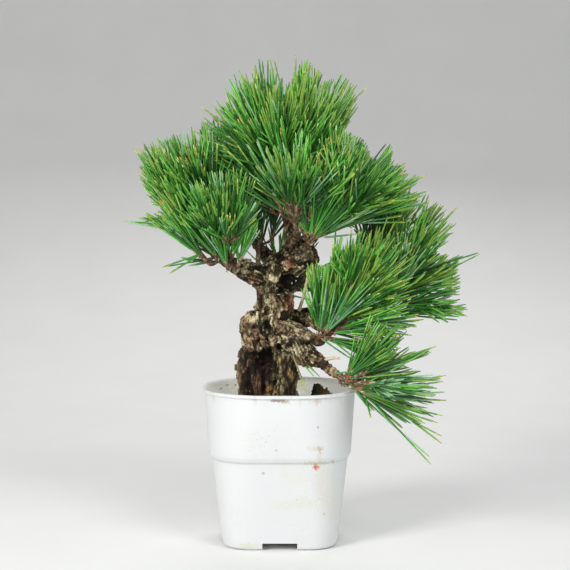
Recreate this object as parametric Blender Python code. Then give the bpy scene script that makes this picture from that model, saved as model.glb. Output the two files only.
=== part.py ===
# Japanese black pine bonsai, growing in a square white plastic pot.
# Metres, +Z up. The origin is the middle of the pot's underside, and the plant is seen from -Y.
# Plant and pot are one rigid thing: nothing on them has a joint.
import math
import random

import bmesh
import bpy
from mathutils import Quaternion, Vector

# Gap left between two pieces that touch
CLEAR = 0.0003

# Pot: height, half widths of the square outline, and wall. A corner's radius is a share of the half
# width that grows from foot to rim. LIP_PROFILE holds how far in from the lip's face, and how many
# of its drops below the rim, each corner of the lip lies.
POT_HEIGHT = 0.107
FOOT_HALF = 0.0392
SHELF_LOW_HALF = 0.0465
SHELF_HIGH_HALF = 0.0487
BODY_TOP_HALF = 0.0520
LIP_HALF = 0.0536
SHELF_LOW_Z = 0.0600
SHELF_HIGH_Z = 0.0640
LIP_DROP = 0.0024
LIP_PROFILE = ((0.0003, 1.0), (0.0, 0.6), (0.0, 0.25), (0.0006, 0.0))
FOOT_CORNER_SHARE = 0.47
RIM_CORNER_SHARE = 0.83
CORNER_CURVE = 1.5
CORNER_STEPS = 5
FOOT_ROUNDING = 0.0030
WALL = 0.0014
FLOOR_UNDER_Z = 0.0040
FLOOR_THICK = 0.0018
NOTCH_WIDTH = 0.0236
NOTCH_HEIGHT = 0.0036
RIB_THICK = 0.0024
BOSS_RADIUS = 0.0070
BOSS_SIDES = 16
DRAIN_RADIUS = 0.0035
DRAIN_SIDES = 14
DRAIN_OUT = 0.0200

# Soil: its level, and the mossy clod that lies on it
SOIL_TOP_Z = 0.0900
SOIL_TO_WALL = 0.0004
CLOD_AT = (0.0295, 0.0170)
CLOD_SIZE = (0.0086, 0.0078, 0.0150)
CLOD_LUMPS = 0.10
CLOD_SEED = 5

# Limbs: each is a list of places along its middle, (x, y, z, radius), from its root to its tip
LIMBS = {
    "trunk": (
        (-0.0080, 0.0010, 0.0903, 0.0238),
        (-0.0083, 0.0010, 0.1010, 0.0208),
        (-0.0085, 0.0000, 0.1230, 0.0194),
        (-0.0088, 0.0000, 0.1390, 0.0176),
        (-0.0087, 0.0000, 0.1500, 0.0170),
        (-0.0054, 0.0000, 0.1580, 0.0142),
        (-0.0040, 0.0000, 0.1650, 0.0130),
        (-0.0040, 0.0000, 0.1740, 0.0126),
        (-0.0022, 0.0000, 0.1840, 0.0116),
        (0.0030, 0.0000, 0.1920, 0.0094),
        (0.0078, 0.0005, 0.2000, 0.0070),
        (0.0088, 0.0010, 0.2080, 0.0048),
        (0.0072, 0.0015, 0.2160, 0.0040),
        (0.0046, 0.0015, 0.2260, 0.0035),
        (0.0030, 0.0010, 0.2360, 0.0031),
    ),
    "bough_left": (
        (-0.0040, -0.0010, 0.1790, 0.0100),
        (-0.0140, -0.0030, 0.1835, 0.0086),
        (-0.0240, -0.0040, 0.1880, 0.0070),
        (-0.0330, -0.0040, 0.1920, 0.0052),
        (-0.0410, -0.0020, 0.1965, 0.0038),
        (-0.0480, 0.0010, 0.2020, 0.0029),
    ),
    "bough_left_front": (
        (-0.0290, -0.0060, 0.1910, 0.0040),
        (-0.0340, -0.0130, 0.1945, 0.0031),
        (-0.0360, -0.0180, 0.1990, 0.0024),
    ),
    "bough_rear_left": (
        (0.0000, 0.0030, 0.1900, 0.0070),
        (-0.0090, 0.0160, 0.1970, 0.0050),
        (-0.0170, 0.0270, 0.2050, 0.0034),
    ),
    "bough_cut_arm": (
        (0.0020, 0.0000, 0.1890, 0.0100),
        (0.0110, -0.0030, 0.1935, 0.0087),
        (0.0180, -0.0055, 0.1965, 0.0074),
        (0.0245, -0.0080, 0.1990, 0.0062),
    ),
    "bough_crown_right": (
        (0.0150, -0.0050, 0.1980, 0.0046),
        (0.0200, -0.0085, 0.2060, 0.0037),
        (0.0245, -0.0115, 0.2120, 0.0027),
    ),
    "bough_crown_front": (
        (0.0072, 0.0000, 0.2050, 0.0044),
        (0.0090, -0.0110, 0.2090, 0.0034),
        (0.0110, -0.0170, 0.2140, 0.0025),
    ),
    "bough_rear_right": (
        (0.0060, 0.0030, 0.1985, 0.0062),
        (0.0150, 0.0160, 0.2050, 0.0046),
        (0.0240, 0.0250, 0.2120, 0.0032),
    ),
    "bough_right": (
        (-0.0020, -0.0050, 0.1490, 0.0080),
        (0.0120, -0.0095, 0.1450, 0.0060),
        (0.0200, -0.0120, 0.1415, 0.0045),
        (0.0265, -0.0140, 0.1400, 0.0032),
    ),
    "bough_right_outer": (
        (-0.0020, 0.0050, 0.1530, 0.0072),
        (0.0180, 0.0140, 0.1550, 0.0054),
        (0.0400, 0.0180, 0.1590, 0.0041),
        (0.0610, 0.0140, 0.1640, 0.0031),
    ),
    "bough_right_rear": (
        (-0.0040, 0.0060, 0.1430, 0.0072),
        (0.0160, 0.0280, 0.1490, 0.0054),
        (0.0400, 0.0400, 0.1620, 0.0041),
        (0.0560, 0.0430, 0.1770, 0.0030),
    ),
    "bough_rear": (
        (-0.0050, 0.0040, 0.1600, 0.0066),
        (-0.0030, 0.0200, 0.1630, 0.0050),
        (0.0020, 0.0340, 0.1670, 0.0034),
    ),
    "bough_low_right": (
        (-0.0030, -0.0050, 0.1400, 0.0096),
        (0.0100, -0.0120, 0.1370, 0.0086),
        (0.0190, -0.0180, 0.1315, 0.0064),
        (0.0278, -0.0245, 0.1262, 0.0042),
        (0.0350, -0.0295, 0.1208, 0.0031),
        (0.0415, -0.0340, 0.1170, 0.0025),
    ),
}
TRUNK_SIDES = 22
BOUGH_SIDES = 7
TRUNK_RING_SPACING = 0.0052
BOUGH_RING_SPACING = 0.0070

# What a bough is cut with: the trunk and the earlier boughs, this much wider, and the trunk deeper
BOUGH_CLEAR = 0.00045
TRUNK_SPACE_DROP = 0.0100

# Flutes that run up the trunk: how many round it, how deep as a share of its radius, and their turn
FLUTES = ((3, 0.060, 0.6), (5, 0.045, 2.1), (9, 0.030, 0.4))
FLUTE_TWIST = 9.0
ROOT_LOBES = (5, 0.16, 0.9)
ROOT_LOBES_FADE = 0.0140

# Knobs (outward) and rot hollows (inward) on the trunk: place, width and height over the bark
KNOBS = {
    "left_knuckle": ((-0.0250, -0.0040, 0.1530), 0.0048, 0.0056),
    "left_shoulder": ((-0.0250, -0.0040, 0.1440), 0.0060, 0.0030),
    "left_rib": ((-0.0260, -0.0080, 0.1340), 0.0065, 0.0018),
    "front_burr": ((-0.0035, -0.0190, 0.1400), 0.0050, 0.0050),
    "front_rib": ((-0.0160, -0.0160, 0.1330), 0.0060, 0.0030),
    "fork_knob": ((-0.0080, -0.0120, 0.1900), 0.0045, 0.0040),
    "right_foot": ((0.0100, -0.0120, 0.1080), 0.0080, 0.0030),
    "rear_knuckle": ((-0.0120, 0.0180, 0.1480), 0.0070, 0.0040),
    "foot_cave": ((-0.0120, -0.0190, 0.1270), 0.0060, -0.0062),
    "fork_hollow": ((0.0060, -0.0130, 0.1770), 0.0065, -0.0060),
}

# Foliage masses. Each grows from the tip of a limb: its stem runs to hub, and its shoots start on
# a dome round the hub, spread degrees each side of lean. needle is the length of a needle, and
# furthest holds the tips that reach out of the mass's dome, each on one long needle. bare is the
# share of the stem that bears no shoots, where it isn't STEM_BARE.
MASSES = {
    "mass_crown_top": {
        "limb": "trunk", "hub": (0.0030, 0.0000, 0.2540), "dome": (0.0300, 0.0260, 0.0240),
        "lean": (0.00, -0.05, 1.00), "spread": 72, "shoots": 15, "needle": 0.0480, "seed": 11,
        "furthest": ((-0.0540, -0.0100, 0.3000), (0.0110, 0.0050, 0.3366), (0.0610, 0.0000, 0.3145)),
    },
    "mass_crown_right": {
        "limb": "bough_crown_right", "hub": (0.0420, -0.0160, 0.2220), "dome": (0.0220, 0.0180, 0.0180),
        "lean": (0.50, -0.25, 1.00), "spread": 76, "shoots": 11, "needle": 0.0460, "seed": 23,
        "furthest": ((0.0990, -0.0250, 0.2530), (0.0910, -0.0350, 0.2370)),
    },
    "mass_crown_front": {
        "limb": "bough_crown_front", "hub": (0.0100, -0.0260, 0.2230), "dome": (0.0160, 0.0120, 0.0120),
        "lean": (0.05, -0.30, 1.00), "spread": 70, "shoots": 8, "needle": 0.0450, "seed": 29,
        "furthest": (),
    },
    "mass_left_outer": {
        "limb": "bough_left", "hub": (-0.0500, 0.0010, 0.2210), "dome": (0.0180, 0.0200, 0.0180),
        "lean": (-0.35, 0.00, 1.00), "spread": 72, "shoots": 10, "needle": 0.0430, "seed": 35,
        "furthest": ((-0.1080, -0.0100, 0.2216), (-0.1000, -0.0050, 0.2710)),
    },
    "mass_left_front": {
        "limb": "bough_left_front", "hub": (-0.0370, -0.0250, 0.2060), "dome": (0.0120, 0.0090, 0.0080),
        "lean": (0.00, -0.35, 1.00), "spread": 66, "shoots": 6, "needle": 0.0370, "seed": 47,
        "furthest": ((-0.0790, -0.0300, 0.1910), (-0.0740, -0.0360, 0.1870)),
    },
    "mass_rear_left": {
        "limb": "bough_rear_left", "hub": (-0.0240, 0.0400, 0.2200), "dome": (0.0230, 0.0200, 0.0180),
        "lean": (-0.20, 0.50, 1.00), "spread": 74, "shoots": 8, "needle": 0.0450, "seed": 59,
        "furthest": (),
    },
    "mass_rear_right": {
        "limb": "bough_rear_right", "hub": (0.0360, 0.0370, 0.2240), "dome": (0.0230, 0.0200, 0.0180),
        "lean": (0.30, 0.50, 1.00), "spread": 74, "shoots": 8, "needle": 0.0450, "seed": 61,
        "furthest": (),
    },
    "mass_right_front": {
        "limb": "bough_right", "hub": (0.0530, -0.0170, 0.1740), "dome": (0.0120, 0.0110, 0.0110),
        "lean": (0.35, -0.30, 0.90), "spread": 84, "shoots": 13, "needle": 0.0410, "seed": 73,
        "bare": 0.10,
        "furthest": ((0.0540, -0.0350, 0.1270), (0.0380, -0.0250, 0.2050), (0.0820, -0.0250, 0.2080)),
    },
    "mass_right_outer": {
        "limb": "bough_right_outer", "hub": (0.0800, 0.0070, 0.1720), "dome": (0.0150, 0.0150, 0.0170),
        "lean": (1.00, -0.10, 0.65), "spread": 72, "shoots": 9, "needle": 0.0430, "seed": 85,
        "furthest": ((0.1386, 0.0000, 0.1987), (0.1310, 0.0050, 0.1550), (0.1225, 0.0000, 0.2310)),
    },
    "mass_right_rear": {
        "limb": "bough_right_rear", "hub": (0.0680, 0.0400, 0.1920), "dome": (0.0190, 0.0180, 0.0150),
        "lean": (0.30, 0.25, 1.00), "spread": 72, "shoots": 7, "needle": 0.0430, "seed": 97,
        "furthest": ((0.1060, 0.0300, 0.2400),),
    },
    "mass_rear": {
        "limb": "bough_rear", "hub": (0.0060, 0.0480, 0.1730), "dome": (0.0180, 0.0140, 0.0140),
        "lean": (0.20, 1.00, 0.50), "spread": 62, "shoots": 6, "needle": 0.0400, "seed": 103,
        "furthest": (),
    },
    "mass_low_right": {
        "limb": "bough_low_right", "hub": (0.0500, -0.0410, 0.1130), "dome": (0.0100, 0.0080, 0.0100),
        "lean": (1.00, -0.15, 0.05), "spread": 68, "shoots": 6, "needle": 0.0480, "seed": 109,
        "furthest": (
            (0.1010, -0.0450, 0.0600), (0.1080, -0.0450, 0.0740),
            (0.1050, -0.0350, 0.1380), (0.0600, -0.0570, 0.0930),
        ),
    },
}

# A mass's stem: its root's share of the limb's radius, a straight first stretch, its bend as a
# share of its length, and the shares of it between which its twigs leave
STEM_SHARE = 0.85
STEM_SQUARE = 0.0020
STEM_BEND = 0.18
STEM_MIDDLE_RADIUS = 0.0022
STEM_TIP_RADIUS = 0.0019
STEM_SIDES = 5
STEM_BARE = 0.80
STEM_LAST_TWIG = 0.98

# Twigs and the shoots at their ends. A shoot's axis turns toward the mass's lean by GATHER, its
# reach is a share of the dome's radii, and it shrinks until it starts well inside its own space.
TWIG_RADIUS = 0.0016
TWIG_TIP_RADIUS = 0.0012
SHOOT_REACH = (0.75, 1.05)
SHOOT_SHRINK = 0.80
SHOOT_SPACE_GAP = 0.0054
SHOOT_LENGTH = 0.0130
SHOOT_WIDEST = 0.40
SHOOT_RADIUS = 0.0024
SHOOT_TIP_RADIUS = 0.0008
SHOOT_SIDES = 3
GATHER = 0.80
GOLDEN_ANGLE = math.pi * (3 - math.sqrt(5))

# Needles: how many a shoot bears and between which shares of it, how far each opens from the
# shoot in degrees at its foot and its tip, and the ranges that chance moves each one over
NEEDLES_PER_SHOOT = 7
NEEDLE_ROOTS = (0.06, 0.94)
NEEDLE_RADIUS = 0.00095
NEEDLE_TIP_RADIUS = 0.00062
NEEDLE_SIDES = 3
NEEDLE_SPREAD = (48, 12)
NEEDLE_SPREAD_CHANCE = (-12, 10)
NEEDLE_TURN_CHANCE = (-0.8, 0.8)
NEEDLE_LENGTH_CHANCE = (0.84, 1.08)
NEEDLE_TRIES = 10
NEEDLE_SUNK = 0.0003
FURTHEST_ROOT = 0.0050

# What a needle keeps clear of: the border of its mass's space, the limbs, the pot, and the mass's
# other needles beyond a crowded first stretch. It's cut short there, and left out below the
# shortest share of its length. A limb's bulge is its widest as a share of its radius.
SPACE_GAP = 0.0018
LIMB_GAP = 0.0020
POT_GAP = 0.0020
NEEDLE_GAP = 0.0023
NEEDLE_CROWDED = 0.0030
NEEDLE_SHORTEST_SHARE = 0.55
NEEDLE_SAMPLES = 12
TRUNK_BULGE = 1.35
BOUGH_BULGE = 1.05

COLOURS = {
    "pot_plastic": ((0.86, 0.87, 0.87), 0.35),
    "potting_soil": ((0.10, 0.07, 0.045), 0.95),
    "moss": ((0.09, 0.10, 0.04), 0.95),
    "bark": ((0.27, 0.20, 0.13), 0.90),
    "needle_green": ((0.11, 0.30, 0.06), 0.50),
}


# Scene and mesh helpers
def clear_scene():
    for obj in list(bpy.data.objects):
        bpy.data.objects.remove(obj)


def material(name):
    made = bpy.data.materials.get(name)
    if made is None:
        made = bpy.data.materials.new(name)
        made.use_nodes = True
        colour, roughness = COLOURS[name]
        shader = made.node_tree.nodes["Principled BSDF"]
        shader.inputs["Base Color"].default_value = (*colour, 1)
        shader.inputs["Roughness"].default_value = roughness
        shader.inputs["Metallic"].default_value = 0
    return made


def add_object(name, bm, finish, collection=None):
    mesh = bpy.data.meshes.new(name)
    bm.to_mesh(mesh)
    bm.free()
    mesh.materials.append(material(finish))
    obj = bpy.data.objects.new(name, mesh)
    (collection or bpy.context.scene.collection).objects.link(obj)
    return obj


def loft(rings):
    """A closed mesh through rings of points, each with the same number, with its two ends filled."""
    bm = bmesh.new()
    loops = [[bm.verts.new(point) for point in ring] for ring in rings]
    count = len(loops[0])
    for low, high in zip(loops, loops[1:]):
        for i in range(count):
            j = (i + 1) % count
            bm.faces.new((low[i], low[j], high[j], high[i]))
    bm.faces.new(reversed(loops[0]))
    bm.faces.new(loops[-1])
    bmesh.ops.recalc_face_normals(bm, faces=bm.faces)
    return bm


def apply_boolean(obj, operation, cutter=None, collection=None, solver="EXACT"):
    """Joins obj with, or cuts it by, another object or a collection, applies it and removes those."""
    modifier = obj.modifiers.new("Join", "BOOLEAN")
    modifier.operation = operation
    modifier.solver = solver
    if collection:
        modifier.operand_type = "COLLECTION"
        modifier.collection = collection
    else:
        modifier.object = cutter
    graph = bpy.context.evaluated_depsgraph_get()
    joined = bpy.data.meshes.new_from_object(obj.evaluated_get(graph))
    obj.modifiers.clear()
    obj.data = joined
    used = list(collection.objects) if collection else [cutter]
    for other in used:
        bpy.data.objects.remove(other)
    if collection:
        bpy.data.collections.remove(collection)


def keep_largest_shell(obj):
    """Drops loose scraps and fills sealed hollows: only the widest connected surface stays."""
    bm = bmesh.new()
    bm.from_mesh(obj.data)
    unseen = set(bm.faces)
    shells = []
    while unseen:
        todo = [unseen.pop()]
        shell = []
        while todo:
            face = todo.pop()
            shell.append(face)
            for edge in face.edges:
                for near in edge.link_faces:
                    if near in unseen:
                        unseen.remove(near)
                        todo.append(near)
        shells.append(shell)
    widest = max(shells, key=len)
    extra = [face for shell in shells if shell is not widest for face in shell]
    bmesh.ops.delete(bm, geom=extra, context="FACES")
    bm.to_mesh(obj.data)
    bm.free()


# Curves and places
def smooth_path(places, spacing):
    """Points of a Catmull-Rom curve through places, each (x, y, z, radius), about spacing apart."""
    ends = [places[0], *places, places[-1]]
    found = []
    for before, start, end, after in zip(ends, ends[1:], ends[2:], ends[3:]):
        length = (Vector(end[:3]) - Vector(start[:3])).length
        steps = max(1, round(length / spacing))
        for step in range(steps):
            t = step / steps
            found.append(
                tuple(
                    0.5 * (
                        2 * b + (c - a) * t + (2 * a - 5 * b + 4 * c - d) * t**2
                        + (3 * b - a - 3 * c + d) * t**3
                    )
                    for a, b, c, d in zip(before, start, end, after)
                )
            )
    found.append(tuple(places[-1]))
    return found


def ring_frames(points):
    """For each point of a path, its place, its direction, and two sides that turn with it evenly."""
    places = [Vector(point[:3]) for point in points]
    frames = []
    side = Vector((1, 0, 0))
    for i, place in enumerate(places):
        ahead = (places[min(i + 1, len(places) - 1)] - places[max(i - 1, 0)]).normalized()
        side = (side - ahead * side.dot(ahead)).normalized()
        frames.append((place, ahead, side, ahead.cross(side)))
    return frames


def ring_points(place, side, other, radii):
    turns = [2 * math.pi * i / len(radii) for i in range(len(radii))]
    return [
        place + (side * math.cos(turn) + other * math.sin(turn)) * radius
        for turn, radius in zip(turns, radii)
    ]


def tube(points, sides):
    frames = ring_frames(points)
    return loft(
        [
            ring_points(place, side, other, [point[3]] * sides)
            for (place, _, side, other), point in zip(frames, points)
        ]
    )


def between(start, end, share):
    return start + (end - start) * share


def distance_to_segment(point, start, end):
    along = end - start
    share = max(0.0, min(1.0, (point - start).dot(along) / max(along.length_squared, 1e-12)))
    return (point - between(start, end, share)).length, share


# Pot and soil
def square_ring(half, z):
    """A square outline of this half width with round corners, at height z."""
    corner = half * between(FOOT_CORNER_SHARE, RIM_CORNER_SHARE, (z / POT_HEIGHT) ** CORNER_CURVE)
    ring = []
    for quarter, (sx, sy) in enumerate(((1, 1), (-1, 1), (-1, -1), (1, -1))):
        middle = Vector(((half - corner) * sx, (half - corner) * sy, z))
        for step in range(CORNER_STEPS + 1):
            turn = (quarter + step / CORNER_STEPS) * math.pi / 2
            ring.append(middle + Vector((math.cos(turn), math.sin(turn), 0)) * corner)
    return ring


def wall_half(z):
    """Half width of the pot's outer wall at height z, without the lip."""
    marks = (
        (0.0, FOOT_HALF), (SHELF_LOW_Z, SHELF_LOW_HALF), (SHELF_HIGH_Z, SHELF_HIGH_HALF),
        (POT_HEIGHT, BODY_TOP_HALF),
    )
    for (low, low_half), (high, high_half) in zip(marks, marks[1:]):
        if z <= high:
            return low_half + (high_half - low_half) * (z - low) / (high - low)
    return BODY_TOP_HALF


def box(size, place):
    bm = bmesh.new()
    bmesh.ops.create_cube(bm, size=1)
    bmesh.ops.scale(bm, vec=size, verts=bm.verts)
    bmesh.ops.translate(bm, vec=place, verts=bm.verts)
    return bm


def cylinder(radius, depth, place, sides):
    bm = bmesh.new()
    bmesh.ops.create_cone(
        bm, cap_ends=True, segments=sides, radius1=radius, radius2=radius, depth=depth
    )
    bmesh.ops.translate(bm, vec=place, verts=bm.verts)
    return bm


def build_pot():
    """The pot's wall, lip and floor, a cross and a boss under the floor, notches and drain holes."""
    floor_top = FLOOR_UNDER_Z + FLOOR_THICK
    rounding = FOOT_ROUNDING / 3
    outer = [(FOOT_HALF - rounding, 0), (FOOT_HALF, rounding)]
    outer += [(wall_half(z), z) for z in (FOOT_ROUNDING, SHELF_LOW_Z, SHELF_HIGH_Z)]
    outer += [(wall_half(POT_HEIGHT - LIP_DROP), POT_HEIGHT - LIP_DROP)]
    outer += [(LIP_HALF - inward, POT_HEIGHT - LIP_DROP * drops) for inward, drops in LIP_PROFILE]
    inner = [(wall_half(z) - WALL, z) for z in (POT_HEIGHT, SHELF_HIGH_Z, SHELF_LOW_Z, floor_top)]
    under = [(FOOT_HALF - WALL, FLOOR_UNDER_Z), (FOOT_HALF - WALL - rounding, 0)]
    shell = loft([square_ring(half, z) for half, z in under + outer + inner])
    pot = add_object("pot", shell, "pot_plastic")

    helpers = bpy.data.collections.new("pot_under")
    bpy.context.scene.collection.children.link(helpers)
    rib_length = 2 * (FOOT_HALF - WALL / 2 - rounding)
    rib_height = FLOOR_UNDER_Z + FLOOR_THICK / 2
    for turn in (math.pi / 4, -math.pi / 4):
        rib = box((rib_length, RIB_THICK, rib_height), (0, 0, rib_height / 2))
        bmesh.ops.rotate(rib, matrix=Quaternion((0, 0, 1), turn).to_matrix(), verts=rib.verts)
        add_object("rib", rib, "pot_plastic", helpers)
    boss = cylinder(BOSS_RADIUS, rib_height, (0, 0, rib_height / 2), BOSS_SIDES)
    add_object("boss", boss, "pot_plastic", helpers)
    apply_boolean(pot, "UNION", collection=helpers)

    depth = 2 * (LIP_HALF - FOOT_HALF + 3 * WALL)
    for sign in (-1, 1):
        for size, place in (
            ((NOTCH_WIDTH, depth, 2 * NOTCH_HEIGHT), (0, sign * LIP_HALF, 0)),
            ((depth, NOTCH_WIDTH, 2 * NOTCH_HEIGHT), (sign * LIP_HALF, 0, 0)),
        ):
            apply_boolean(pot, "DIFFERENCE", add_object("notch", box(size, place), "pot_plastic"))
    for quarter in range(4):
        turn = quarter * math.pi / 2
        place = (DRAIN_OUT * math.cos(turn), DRAIN_OUT * math.sin(turn), FLOOR_UNDER_Z)
        drain = cylinder(DRAIN_RADIUS, 4 * FLOOR_THICK, place, DRAIN_SIDES)
        apply_boolean(pot, "DIFFERENCE", add_object("drain", drain, "pot_plastic"))
    return pot


def build_soil():
    floor_top = FLOOR_UNDER_Z + FLOOR_THICK
    inset = WALL + SOIL_TO_WALL
    levels = (floor_top + CLEAR, SHELF_LOW_Z - CLEAR, SHELF_HIGH_Z - CLEAR, SOIL_TOP_Z)
    return add_object("soil", loft([square_ring(wall_half(z) - inset, z) for z in levels]), "potting_soil")


def build_clod():
    """The clod of mossy earth beside the trunk: a lumpy half ball with a flat foot."""
    rng = random.Random(CLOD_SEED)
    bm = bmesh.new()
    bmesh.ops.create_icosphere(bm, subdivisions=2, radius=1)
    for vert in bm.verts:
        vert.co *= 1 + rng.uniform(-CLOD_LUMPS, CLOD_LUMPS)
    bmesh.ops.scale(bm, vec=CLOD_SIZE, verts=bm.verts)
    everything = bm.verts[:] + bm.edges[:] + bm.faces[:]
    cut = bmesh.ops.bisect_plane(
        bm, geom=everything, plane_co=(0, 0, 0), plane_no=(0, 0, -1), clear_outer=True
    )
    rim = [edge for edge in cut["geom_cut"] if isinstance(edge, bmesh.types.BMEdge)]
    bmesh.ops.edgeloop_fill(bm, edges=rim)
    bmesh.ops.recalc_face_normals(bm, faces=bm.faces)
    bmesh.ops.translate(bm, vec=(*CLOD_AT, SOIL_TOP_Z + CLEAR), verts=bm.verts)
    return add_object("clod", bm, "moss")


# Trunk and boughs
def trunk_radius(radius, angle, height):
    """The trunk's radius at an angle round it: flutes all the way up, and root lobes at the ground."""
    share = 1.0
    for count, depth, turn in FLUTES:
        share += depth * math.cos(count * angle + turn + FLUTE_TWIST * height * count / 3)
    count, depth, turn = ROOT_LOBES
    above = height - LIMBS["trunk"][0][2]
    share += depth * math.cos(count * angle + turn) * math.exp(-above / ROOT_LOBES_FADE)
    return radius * share


def push_knobs(point, outward):
    """Where a point of the bark lies once each knob and hollow near it has moved it along outward."""
    moved = Vector(point)
    for place, width, height in KNOBS.values():
        near = (point - Vector(place)).length / width
        moved += outward * height * math.exp(-near * near)
    return moved


def build_trunk(name, points, grow=0.0):
    rings = []
    for (place, _, side, other), point in zip(ring_frames(points), points):
        radii = [
            trunk_radius(point[3], 2 * math.pi * i / TRUNK_SIDES, place.z) + grow for i in range(TRUNK_SIDES)
        ]
        ring = ring_points(place, side, other, radii)
        rings.append([push_knobs(spot, (spot - place).normalized()) for spot in ring])
    ground = LIMBS["trunk"][0][2]
    for spot in rings[0]:
        spot.z = ground - (TRUNK_SPACE_DROP if grow else 0)
    bm = loft(rings)
    bmesh.ops.triangulate(bm, faces=bm.faces, quad_method="FIXED")
    return add_object(name, bm, "bark")


def build_limbs():
    """The trunk, and each bough cut back so that it meets the trunk or an earlier bough clear of it."""
    paths = {name: smooth_path(places, BOUGH_RING_SPACING) for name, places in LIMBS.items()}
    paths["trunk"] = smooth_path(LIMBS["trunk"], TRUNK_RING_SPACING)
    build_trunk("trunk", paths["trunk"])
    built = []
    for name, path in paths.items():
        if name == "trunk":
            continue
        bough = add_object(name, tube(path, BOUGH_SIDES), "bark")
        apply_boolean(bough, "DIFFERENCE", build_trunk("trunk_space", paths["trunk"], BOUGH_CLEAR))
        for other in built:
            room = [(*point[:3], point[3] + BOUGH_CLEAR) for point in paths[other]]
            apply_boolean(bough, "DIFFERENCE", add_object("bough_space", tube(room, BOUGH_SIDES), "bark"))
        keep_largest_shell(bough)
        built.append(name)
    return paths


# Foliage
def mass_root(mass, paths):
    """Where a mass's stem starts, 0.3 mm off the tip of its limb, and the way that the limb points."""
    path = paths[mass["limb"]]
    tip, before = Vector(path[-1][:3]), Vector(path[-2][:3])
    ahead = (tip - before).normalized()
    return tip + ahead * CLEAR, ahead


def own_space(name, point, stems):
    """How far inside its own mass's space a point lies: it belongs to the mass whose stem is nearest."""
    away = {other: distance_to_segment(point, *stem)[0] for other, stem in stems.items()}
    own = away.pop(name)
    return min(away.values()) - own


def segment_gap(first, second):
    """The least distance between two straight stretches, each a pair of ends."""
    a, b = first
    c, d = second
    along, across, between_starts = b - a, d - c, a - c
    aa, bb, ab = along.length_squared, across.length_squared, along.dot(across)
    spread = max(aa * bb - ab * ab, 1e-15)
    share = (ab * across.dot(between_starts) - bb * along.dot(between_starts)) / spread
    point = between(a, b, max(0.0, min(1.0, share)))
    _, share = distance_to_segment(point, c, d)
    return distance_to_segment(between(c, d, share), a, b)[0]


def clear_of_limbs(point, paths, gap):
    for name, path in paths.items():
        bulge = TRUNK_BULGE if name == "trunk" else BOUGH_BULGE
        for start, end in zip(path, path[1:]):
            a, b = Vector(start[:3]), Vector(end[:3])
            distance, share = distance_to_segment(point, a, b)
            if distance < (start[3] + (end[3] - start[3]) * share) * bulge + gap:
                return False
    return True


def clear_of_pot(point):
    return point.z > POT_HEIGHT + POT_GAP or max(abs(point.x), abs(point.y)) > LIP_HALF + POT_GAP


def free_share(name, start, end, stems, paths):
    """The share of a needle, from its root, that stays in its mass's space and clear of the limbs."""
    for step in range(1, NEEDLE_SAMPLES + 1):
        point = between(start, end, step / NEEDLE_SAMPLES)
        if (
            own_space(name, point, stems) < SPACE_GAP
            or not clear_of_limbs(point, paths, LIMB_GAP)
            or not clear_of_pot(point)
        ):
            return (step - 1) / NEEDLE_SAMPLES
    return 1.0


def shoots_of(name, stems):
    """Where each shoot leaves the stem, where it starts, and the way that it points."""
    mass = MASSES[name]
    rng = random.Random(mass["seed"])
    start, hub = stems[name]
    lean = Vector(mass["lean"]).normalized()
    turn = Vector((0, 0, 1)).rotation_difference(lean)
    lowest = math.cos(math.radians(mass["spread"]))
    shoots = []
    for i in range(mass["shoots"]):
        along = 1 - (1 - lowest) * (i + 0.5) / mass["shoots"]
        flat = math.sqrt(1 - along * along)
        around = i * GOLDEN_ANGLE + mass["seed"]
        toward = turn @ Vector((flat * math.cos(around), flat * math.sin(around), along))
        reach = Vector([a * b for a, b in zip(mass["dome"], toward)]) * rng.uniform(*SHOOT_REACH)
        foot = between(start, hub, rng.uniform(mass.get("bare", STEM_BARE), STEM_LAST_TWIG))
        while own_space(name, foot + reach, stems) < SHOOT_SPACE_GAP:
            reach *= SHOOT_SHRINK
        axis = (toward + lean * GATHER).normalized()
        shoots.append((foot, foot + reach, axis))
    return shoots


def shoot_needles(name, rng, base, axis, stems, paths, needles):
    """Adds a shoot's needles, (root, tip), to needles: spread wide at its foot, gathered at its tip,
    and clear of the mass's other needles."""
    side = axis.orthogonal().normalized()
    for i in range(NEEDLES_PER_SHOOT):
        share = (i + 0.5) / NEEDLES_PER_SHOOT
        root = base + axis * SHOOT_LENGTH * between(*NEEDLE_ROOTS, share)
        for _ in range(NEEDLE_TRIES):
            open_by = math.radians(between(*NEEDLE_SPREAD, share) + rng.uniform(*NEEDLE_SPREAD_CHANCE))
            out = Quaternion(axis, i * GOLDEN_ANGLE + rng.uniform(*NEEDLE_TURN_CHANCE)) @ side
            direction = (axis * math.cos(open_by) + out * math.sin(open_by)).normalized()
            end = root + direction * MASSES[name]["needle"] * rng.uniform(*NEEDLE_LENGTH_CHANCE)
            free = free_share(name, root + direction * NEEDLE_CROWDED, end, stems, paths)
            if free < NEEDLE_SHORTEST_SHARE:
                continue
            end = between(root, end, free)
            outer = (root + direction * NEEDLE_CROWDED, end)
            if all(segment_gap(outer, other) > NEEDLE_GAP for other in needles):
                needles.append((root - direction * NEEDLE_SUNK, end))
                break


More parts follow.
